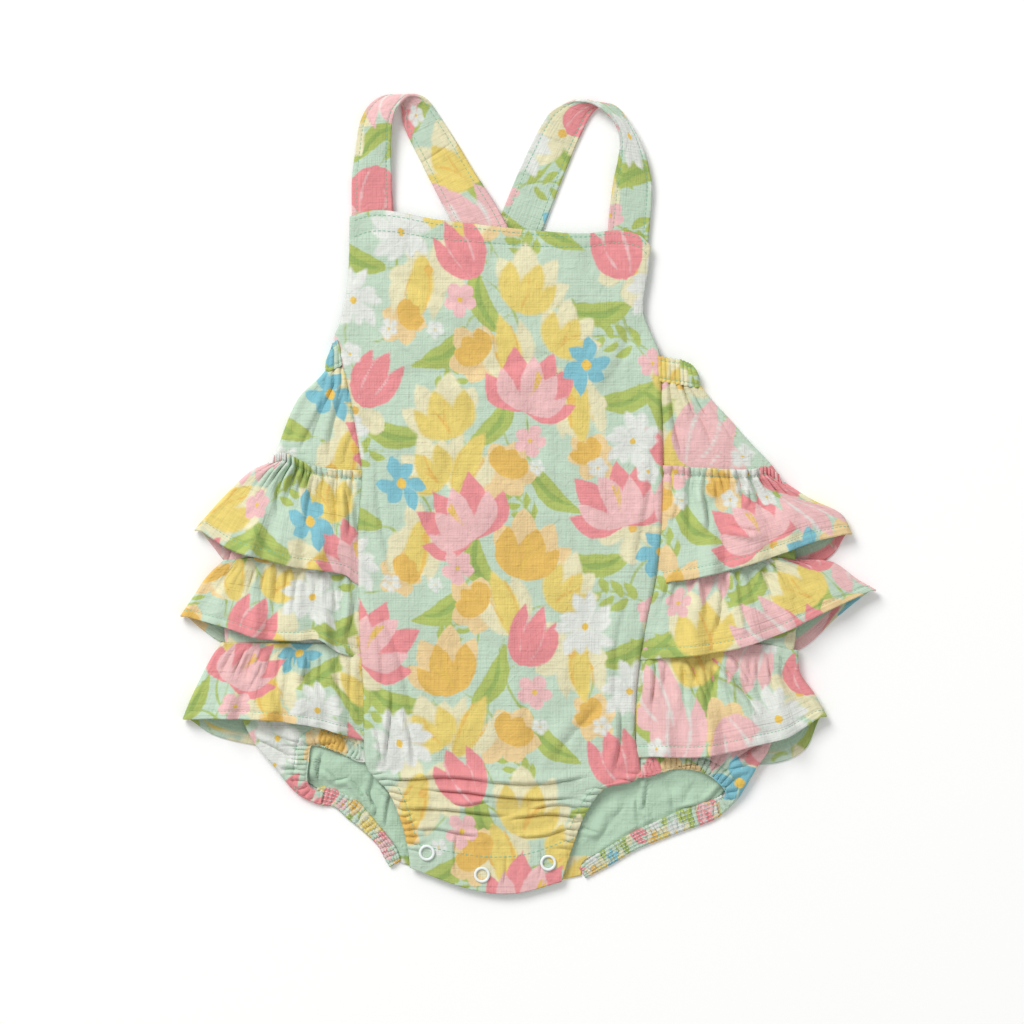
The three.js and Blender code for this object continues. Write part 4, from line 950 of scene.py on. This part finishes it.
# height of a tier's front layer: seat, the stack over the next tier, a lift towards the hem and waves,
# with gathers near the gather line; s runs from the seam to the side fold, v from gather line to hem
def tierHeight(tier, s, v, fine):
    r = ruffles
    free = smooth(0.02, 0.2, s) * (1 - smooth(0.72, 1, s))
    stack = r["stack"] * smooth(0.2, 0.6, v) * (1 - smooth(0.8, 1, s))
    lift = r["lift"] * smooth(0.25, 0.9, v) * free
    wave = np.sin(s * 4.4 * 2 * math.pi + tier["phase"]) + 0.5 * np.sin(s * 7.3 * 2 * math.pi + 2 * tier["phase"])
    waves = r["wave"] * smooth(0.3, 1, v) * free * wave
    if not fine:
        return layers["body"] + r["seat"] + stack + lift + waves
    stack = stack * (0.35 + 0.65 * smooth(0, 0.08, s))
    under = -1.7 * smooth(0.07, 0, s)
    random = np.random.default_rng(tier["seed"])
    gathers = np.zeros_like(s + v)
    start = tier["gatherStart"]
    for n in range(tier["gathers"]):
        centre = (n + 0.5 + random.uniform(-0.35, 0.35)) / tier["gathers"]
        width = random.uniform(0.013, 0.030)
        length = start + random.uniform(0.2, 0.75) * (1.25 - 0.6 * centre)
        height = random.uniform(0.9, 2.7) * (0.9 if start > 0.1 else 1.0)
        offset = (s - centre - random.uniform(-0.07, 0.07) * v) / (width * (1 + 1.1 * np.clip(v, 0, 1)))
        valley = bell((offset - 1.25) / 0.5)
        gathers += height * (bell(offset) - 0.85 * valley) * smooth(length, start, v) * smooth(start - 0.25,
                                                                                               start, v)
    gathers *= (1 - smooth(0.88, 0.98, s)) * smooth(0, 0.05, s)
    return layers["body"] + r["seat"] + stack + lift + waves + under + gathers - 0.25


def buildTier(tier):
    r = ruffles
    frontColumns, arcColumns, backColumns, rows = 108, 8, 84, 62
    v = np.linspace(-tier["header"], 1, rows)[:, None]
    inside = np.clip(v, 0, 1)
    backLevel = lambda y: mix(tier["back"], layers["floor"], smooth(tier["clear"], tier["clear"] - 6, y))
    foldHigh = tierHeight(tier, np.ones((1, 1)), inside, False)
    blocks = []
    for side, out in (("left", -1), ("right", 1)):
        stations, fold = curveThrough(tier[side]), curveThrough(tier[side + "Fold"])
        seamTop, seamEnd = np.split(stations(0.0), 2)
        seam = lambda t: mix(seamTop, seamEnd, np.asarray(t)[..., None])
        foldAt = fold(inside[:, 0])
        foldX, foldY = foldAt[:, :1], foldAt[:, 1:]
        bend = (foldHigh - backLevel(foldY)) / 2
        s = np.linspace(0, 1, frontColumns)[None, :] + 0 * v
        patch = patchBetween(lambda t: stations(t)[..., :2], lambda t: stations(t)[..., 2:], seam, fold,
                             s, inside + 0 * s)
        x = patch[..., 0] - out * bend * smooth(0.3, 1, s) - out * 2.4 * (1 - smooth(0, 0.05, s))
        curl = bell(s / 0.06) * smooth(0.6, 1, v)
        y = patch[..., 1] - np.minimum(v, 0) * r["depth"] - tier["curl"] * curl
        z = tierHeight(tier, s, v, True)
        hemAt = 1 - r["hem"] / r["depth"]
        folds = 1.3 * creases(x, y, tier["folds"]) * smooth(0.0, 0.08, v) * smooth(0, 0.02, s)
        relief = (1.6 * crinkle(x, y, tier["seed"] + 5) + folds) * smooth(0.0, 0.2,
                                                                          v) * (1 - smooth(0.9, 1, s))
        relief = relief + 0.45 * smooth(hemAt - 0.01, hemAt + 0.01, v)
        groove = -0.45 * bell((v - 1 + r["hem"] / r["depth"]) * r["depth"] / 0.9)
        pinch = -1.1 * bell(v * r["depth"] / 1.5) * (tier["header"] > 0)
        frill = np.abs(np.sin(s * math.pi * 21 + 2.2 * softNoise(s * 60, v * 20, 7, 3))) ** 0.7 - 0.55
        flutter = 2.3 * smooth(0.09, -0.02, v) * frill * smooth(0, 0.04, s)
        z = z + relief + groove + pinch + (flutter + 0.5 * smooth(0.02, -0.06, v)) * (tier["header"] > 0)
        front = np.stack([x, y, z], axis=-1)
        turn = math.pi * (np.arange(1, arcColumns + 1) / (arcColumns + 1))[None, :]
        centreX = foldX - out * bend
        arc = np.stack([centreX + out * bend * np.sin(turn), foldY + 0 * turn,
                        backLevel(foldY) + bend + bend * np.cos(turn)], axis=-1)
        blocks.append((front, arc, np.concatenate([centreX, foldY], axis=1), bend[-1, 0]))
    (leftFront, leftArc, leftIn, leftBend), (rightFront, rightArc, rightIn, rightBend) = blocks
    first = np.argmax(v[:, 0] >= 0)
    backTop = lambda t: mix(leftIn[first], rightIn[first], np.asarray(t)[..., None])
    hem = curveThrough(tier["backHem"])

    def backBottom(t):
        inset = leftBend * smooth(0.1, 0, t) - rightBend * smooth(0.9, 1, t)
        return hem(t) + np.stack([inset, 0 * inset], axis=-1)

    # the back's columns stand closer together at its two folds
    even = np.linspace(0, 1, backColumns)
    t = (even - 0.9 * np.sin(2 * math.pi * even) / (2 * math.pi))[None, :] + 0 * v
    grid = inside + 0 * t
    sideOf = lambda line: lambda d: np.stack([np.interp(d, inside[:, 0], line[:, k]) for k in (0, 1)],
                                             axis=-1)
    place = patchBetween(backTop, backBottom, sideOf(leftIn), sideOf(rightIn), t, grid)
    sag = 1 - np.abs(2 * t - 1) ** 6
    x, y = place[..., 0], place[..., 1] + (tier["top"] - backTop(t)[..., 1]) * sag * (1 - grid)
    # shallow gathers on the back, raised only, because the back lies on the floor or on the next layer
    backGathers = 0.4 * (0.55 + puckerRow(x / 15 + 0.7 * softNoise(x, y, 25, tier["seed"] + 7)))
    raised = backGathers * smooth(1.0, 0.2, grid) * smooth(0, 0.12, t) * smooth(1, 0.88, t)
    backs = np.stack([x, y, backLevel(y) + raised], axis=-1)
    middle = np.concatenate([leftFront, leftArc, backs, rightArc[:, ::-1], rightFront[:, ::-1]], axis=1)[:,
                                                                                                         ::-1]
    flow = travelled(middle[int(rows * 0.8), :, :2])
    flat = np.stack(np.broadcast_arrays(flow[None], -v * r["depth"]), axis=-1)
    outer, normals = clothPiece(tier, middle, 0.85, flat, (1 - v) * r["depth"] - r["hem"])
    stitchRows = [1 - r["hem"] / (r["depth"] * (1 + tier["header"]))]
    if tier["header"] > 0:
        stitchRows.append(tier["header"] / (1 + tier["header"]))
    runs = [frontRuns(outer, normals, (rows - 1) * row, 1.6, 2400, 2.3, 1.5, 0.36) for row in stitchRows]
    stitchPiece(tier["name"], sum(runs, []))


for tier in ruffles["tiers"]:
    buildTier(tier)
print("ruffles made")

strapCut = {"cut": (0.023, 0.25), "held": "folded", "rests": ["centre_front"], "thickness": 1.5}
straps = {
    "left": {
        **strapCut, "name": "strapLeft", "node": "strap_left", "shift": (128.0, 52.0), "seed": 91,
        "rows": [
            [-98.6, 144, 2.5, -75.6, 144, 2.5], [-98.6, 160, 2.5, -75.8, 161, 2.5],
            [-98.4, 176, 3.2, -76.4, 177, 3.9],
            [-96.3, 193, 4.0, -76.6, 196, 5.8], [-94, 207, 4.6, -76, 207, 7.2],
            [-89.6, 216, 4.6, -74, 214, 8.2],
            [-83, 221.4, 3.9, -70, 219.5, 7.8], [-75.5, 222.4, 2.6, -65, 222.8, 6.2],
            [-71, 217, 1.5, -57.5, 221, 4.0],
            [-69.5, 206, 0.9, -51, 213.5, 2.0], [-60, 186, 0.9, -41, 198.5, 1.0],
            [-52, 170, 1.7, -30, 180, 1.7],
            [-43.3, 153, 2.8, -17.5, 160.5, 2.8], [-31, 129, 2.8, -5.5, 137, 2.8],
            [-17, 101, 2.8, 9.5, 104, 2.8],
            [-7.4, 82, 2.6, 18.6, 82, 2.6],
        ],
    },
    "right": {
        **strapCut, "name": "strapRight", "node": "strap_right", "shift": (66.0, 20.0), "seed": 95,
        "rows": [
            [66, 130, 2.5, 44, 130, 2.5], [68, 150, 2.5, 44.8, 151, 2.5], [69.3, 172, 3.2, 47.6, 175, 4.4],
            [67, 184, 3.6, 50.2, 187, 5.6], [61.8, 197.8, 3.9, 51, 199, 7.2],
            [56.2, 208, 3.8, 47.5, 208.5, 8.2],
            [51.5, 214.6, 3.4, 41, 215, 8.3], [46, 217.6, 2.6, 34, 219, 7.2],
            [40.5, 216.9, 1.7, 26.5, 220, 4.8],
            [35.5, 212.6, 1.1, 19, 217.5, 2.6], [30, 202, 0.95, 10.5, 211, 1.3],
            [21.4, 182, 0.85, -2.5, 186.5, 0.85],
            [7.8, 147, 0.82, -15.4, 155.4, 0.82], [-5, 116, 0.82, -28.5, 122.5, 0.82],
            [-18, 82, 0.82, -44, 82, 0.82],
        ],
    },
}


# strap: a ribbon between two edges in space, crowned between its two sunken stitch rows
def buildStrap(spec):
    rows, columns = 300, 26
    share, across = shareGrid(rows, columns)
    line = curveThrough(spec["rows"])(share[:, 0])
    if spec["rows"][0][0] < spec["rows"][0][3]:
        line = line[:, [3, 4, 5, 0, 1, 2]]
    a, b = line[:, None, :3], line[:, None, 3:]
    middle = mix(a, b, across[..., None])
    raised = np.maximum(a[..., 2], b[..., 2]) > 1
    crown = np.where(raised, 0.5, 0) * np.sin(math.pi * across)
    seam = -0.4 * (bell((across - 0.13) / 0.035) + bell((across - 0.87) / 0.035))
    length = travelled(middle[:, columns // 2])
    flat = np.stack(np.broadcast_arrays(across * 23, -length[:, None]), axis=-1)
    wrinkle = 0.7 * crinkle(flat[..., 0], flat[..., 1] * 0.8, spec["seed"]) * (crown > 0)
    middle[..., 2] += crown + (seam + wrinkle) * (0.4 + 0.6 * (crown > 0))
    outer, normals = clothPiece(spec, middle, spec["thickness"], flat, -1.0)
    stitchPiece(spec["name"], [ribbonRun(middle, normals, share * (columns - 1), spec["thickness"], 900, 2.5,
                                         1.6, 0.38)
                               for share in (0.13, 0.87)])


for side in ("left", "right"):
    buildStrap(straps[side])
print("straps made")

bandCut = {"held": "gathered", "rests": ["back_panel"], "thickness": 1.4}
bands = {
    "left": {
        **bandCut, "name": "legBandLeft", "node": "leg_band_left", "cut": (0.0105, 0.080), "area": 0.00065,
        "shift": (10.0, 10.0), "flip": False,
        "rows": [[-117.8, -164.6, -121.4, -171.8], [-111.6, -163.6, -115.6, -174.0],
                 [-103.0, -167.8, -108.6, -174.8],
                 [-95.1, -172.2, -101.4, -181], [-85.2, -183.8, -91, -189.6], [-77.0, -193.9, -84, -196.5],
                 [-73.4, -199.4, -79.6, -204.4], [-71.6, -205.2, -77.2, -208.6]],
    },
    "right": {
        **bandCut, "name": "legBandRight", "node": "leg_band_right", "cut": (0.0105, 0.115), "area": 0.00100,
        "shift": (50.0, 100.0), "flip": True,
        "rows": [[108.4, -168.6, 112.6, -175.4], [102.8, -171.4, 104.4, -181.8], [87.5, -176.1, 89.6, -187.4],
                 [73.8, -182.3, 77.6, -191.8], [57.5, -190.1, 60.4, -198.8], [42.7, -199.1, 46, -207.2],
                 [33.6, -204.8, 38.4, -211.2], [28.6, -209.4, 32.2, -214.6]],
    },
}


# elastic leg band: a puckered ribbon between two edges, ridged across its width
def buildBand(spec):
    rows, columns = 190, 16
    share, across = shareGrid(rows, columns)
    line = curveThrough(spec["rows"])(share[:, 0])
    ribbon = mix(line[:, None, :2], line[:, None, 2:], across[..., None])
    length = travelled(ribbon[:, 8])[:, None]
    ridges = np.sin(length * 2 * math.pi / 3.1 + 2 * across + 2.2 * softNoise(length, across * 9, 4, 7))
    channels = 0.2 * np.cos(across * 5 * 2 * math.pi)
    height = 1.5 + 0.45 * ridges * np.sin(math.pi * across) ** 0.5 - channels - 0.4 * across
    middle = np.concatenate([ribbon, height[..., None]], axis=-1)
    if spec["flip"]:
        middle = middle[:, ::-1]
    flat = np.stack(np.broadcast_arrays(across * 22, -length * 3.6), axis=-1)
    outer, normals = clothPiece(spec, middle, spec["thickness"], flat, -1.0)
    runs = [ribbonRun(middle, normals, (0.1 + 0.2 * k) * (columns - 1), spec["thickness"], 500, 1.9, 1.35,
                      0.4)
            for k in range(5)]
    stitchPiece(spec["name"], runs, paleThread)


for side in ("left", "right"):
    buildBand(bands[side])
print("leg bands made")

casing = {
    "name": "topCasing", "node": "top_casing", "cut": (0.33, 0.013), "held": "gathered",
    "rests": ["back_panel"],
    "shift": (30.0, 20.0), "left": (-108.8, 79.7, -112.6, 76.5), "right": (74.6, 70.6, 95.4, 67.2),
    "columns": {"left": 12, "right": 90}, "low": 1.2, "height": 13.0, "thick": 1.7, "pitch": 2.6,
    "depth": 1.5,
    "cornerIn": 4.0, "cornerDown": 2.4, "cornerReach": 11.0, "lap": 1.2, "stitchRows": (0.16, 0.84),
}


# elastic top: a path from the left seam round the back to the right seam, 13 mm tall, pinched into
# upright puckers; each pucker is a rounded ridge with a narrow groove beside it
def buildCasing():
    spec, low = casing, casing["low"]
    radius = (layers["bib"] - low) / 2
    stretches = []
    for side, out in (("left", -1), ("right", 1)):
        seamX, seamY, foldX, foldY = spec[side]
        count = spec["columns"][side]
        t = np.linspace(0, 1, count)
        centreX = foldX - out * radius
        straight = np.stack([mix(seamX - out * 2.5, centreX, t), mix(seamY, foldY, t),
                             np.full(count, layers["bib"])], axis=-1)
        turn = math.pi * np.linspace(0, 1, 9)[1:]
        arc = np.stack([centreX + out * radius * np.sin(turn), np.full(8, foldY),
                        low + radius + radius * np.cos(turn)], axis=-1)
        both = np.concatenate([straight, arc])
        stretches.append(both[::-1] if out > 0 else both)
    x = np.linspace(spec["left"][2] + 8, spec["right"][2] - 8, 220)
    back = np.stack([x, casingLevel(x), np.full(len(x), low)], axis=-1)
    line = np.concatenate([stretches[0], back, stretches[1]])[::-1]
    travel = travelled(line)[None]
    rows = 26
    down = np.linspace(0, 1, rows)[:, None]
    middle = np.broadcast_to(line[None], (rows, len(line), 3)).copy()
    wobble = 0.5 * softNoise(travel, down * 10, 5, 12)
    phase = (travel / spec["pitch"] + wobble * 0.6) * 2 * math.pi
    front = smooth(2.5, 4.0, line[None, :, 2])
    ridges = front * spec["depth"] * (np.abs(np.sin(phase / 2)) ** 0.7 - 0.5)
    edge = 0.6 * np.sin(phase + 1) * front
    middle[..., 1] += spec["height"] * (0.5 - down) - spec["lap"] * down + edge * (1 - 2 * down) * 0.5
    # the left inner end slants in under the front's sloping edge
    middle[..., 0] += 2.4 * down * front * smooth(-112.6, -106.3, middle[..., 0]) * (middle[..., 0] < 0)
    # the top corners are rounded off: the upper rows draw in and down towards each fold
    foldX = np.where(middle[..., 0] < 0, spec["left"][2], spec["right"][2])
    reach = np.where(middle[..., 0] < 0, 4.0, spec["cornerReach"])
    near = np.clip(1 - np.abs(middle[..., 0] - foldX) / reach, 0, 1) ** 1.5
    middle[..., 0] -= np.sign(foldX) * spec["cornerIn"] * (1 - down) ** 3 * near
    middle[..., 1] -= spec["cornerDown"] * (1 - down) * near
    grooves = sum(bell((down - share) / 0.05) for share in spec["stitchRows"])
    bow = front * (0.5 * np.sin(math.pi * down) - 0.35 * grooves)
    middle[..., 2] += ridges * (0.5 + 0.5 * np.sin(math.pi * down)) + bow + 0.35 * front
    flat = np.stack(np.broadcast_arrays(travel * 1.5, -down * 13), axis=-1)
    outer, normals = clothPiece(spec, middle, spec["thick"], flat, -1.0)
    runs = [frontRuns(outer, normals, share * (rows - 1), 3, 1600, 2.2, 1.5,
                      0.36) for share in spec["stitchRows"]]
    stitchPiece("casing", sum(runs, []))


buildCasing()
print("casing made")

snaps = {
    "places": [(-56.6, -200.5), (-25.8, -212.8), (11.2, -206.1)],
    "profile": [
        (4.35, -0.5), (4.5, -0.3), (4.5, 0.05), (4.38, 0.3), (4.1, 0.47), (3.75, 0.52), (3.4, 0.46),
        (3.15, 0.3),
        (3.02, 0.05), (3.0, -0.3), (3.1, -0.5),
    ],
}


# open ring: a rounded profile turned about an upright axis, with four tiny prong dimples
def buildSnap(number, x, y):
    profile = np.array(snaps["profile"])
    turns = np.linspace(0, 2 * math.pi, 48, endpoint=False)
    dimple = 0.16 * bell((np.cos(turns * 2.5)) / 0.16)
    r = profile[None, :, 0] + 0 * turns[:, None]
    z = profile[None, :, 1] - dimple[:, None] * (profile[None, :, 1] > 0.25)
    ringHeight = layers["tab"] + 0.5 + layers["gap"] + 0.5
    points = np.stack([x + r * np.cos(turns)[:, None], y + r * np.sin(turns)[:, None], ringHeight + z],
                      axis=-1)
    index = np.arange(r.size).reshape(r.shape)
    nextRow, nextColumn = np.roll(index, -1, axis=0), np.roll(index, -1, axis=1)
    faces = np.stack([index, nextRow, np.roll(nextRow, -1, axis=1), nextColumn], axis=-1).reshape(-1, 4)
    piece = newPiece(f"snapRing{number}", points.reshape(-1, 3), faces, snapPlastic)
    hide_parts(f"snap_ring_{number}")


for number, (x, y) in enumerate(snaps["places"], 1):
    buildSnap(number, x, y)
    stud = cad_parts[f"snap_stud_{number}"]
    stud.data.materials.clear()
    stud.data.materials.append(snapPlastic)
print("snaps made")

studio = {
    "centreX": -9.0, "centreY": -10.1, "width": 573.4, "distance": 2600.0, "sensor": 36.0,
    "floor": "#FDFDFC", "key": 235.0, "fill": 14.0, "world": 0.56,
}


# pale floor, a broad soft key from the upper left, a weaker fill and a camera straight above
def buildStudio():
    scene = bpy.context.scene
    material, tree = newMaterial("paper sweep, matt")
    tooth = noise(tree, node(tree, "ShaderNodeTexCoord"), "Object", 300.0)
    shadeWith(tree, {"Base Color": (*linear(studio["floor"]), 1), "Roughness": 0.9},
              [("Normal", bumpOf(tree, tooth, 0.05, 0.0002), 0)])
    mesh = bpy.data.meshes.new("floor")
    size = 3.0
    mesh.from_pydata([(-size, -size, 0), (size, -size, 0), (size, size, 0), (-size, size, 0)], [],
                     [(0, 1, 2, 3)])
    floor = bpy.data.objects.new("floor", mesh)
    scene.collection.objects.link(floor)
    mesh.materials.append(material)
    world = bpy.data.worlds.new("studio")
    world.use_nodes = True
    background = world.node_tree.nodes["Background"].inputs
    background[0].default_value, background[1].default_value = (1, 1, 1, 1), studio["world"]
    scene.world = world
    for name, spot, size in (("key", (-2.6, 3.4, 3.6), 2.6), ("fill", (3.0, -2.0, 4.0), 3.5)):
        light = bpy.data.lights.new(name, "AREA")
        light.energy, light.size = studio[name], size
        lamp = bpy.data.objects.new(name, light)
        lamp.location = spot
        aim = np.array([-0.01, 0.0, 0.0]) - np.array(spot)
        lamp.rotation_euler = (math.acos(-aim[2] / np.linalg.norm(aim)), 0, math.atan2(-aim[0], aim[1]))
        scene.collection.objects.link(lamp)
    camera = bpy.data.cameras.new("camera")
    camera.sensor_width = studio["sensor"]
    camera.lens = studio["sensor"] * studio["distance"] / studio["width"]
    camera.clip_end = 20
    holder = bpy.data.objects.new("camera", camera)
    holder.location = (studio["centreX"] * mm, studio["centreY"] * mm, studio["distance"] * mm)
    scene.collection.objects.link(holder)
    scene.camera = holder
    scene.view_settings.view_transform = "Standard"


buildStudio()
print("studio made")
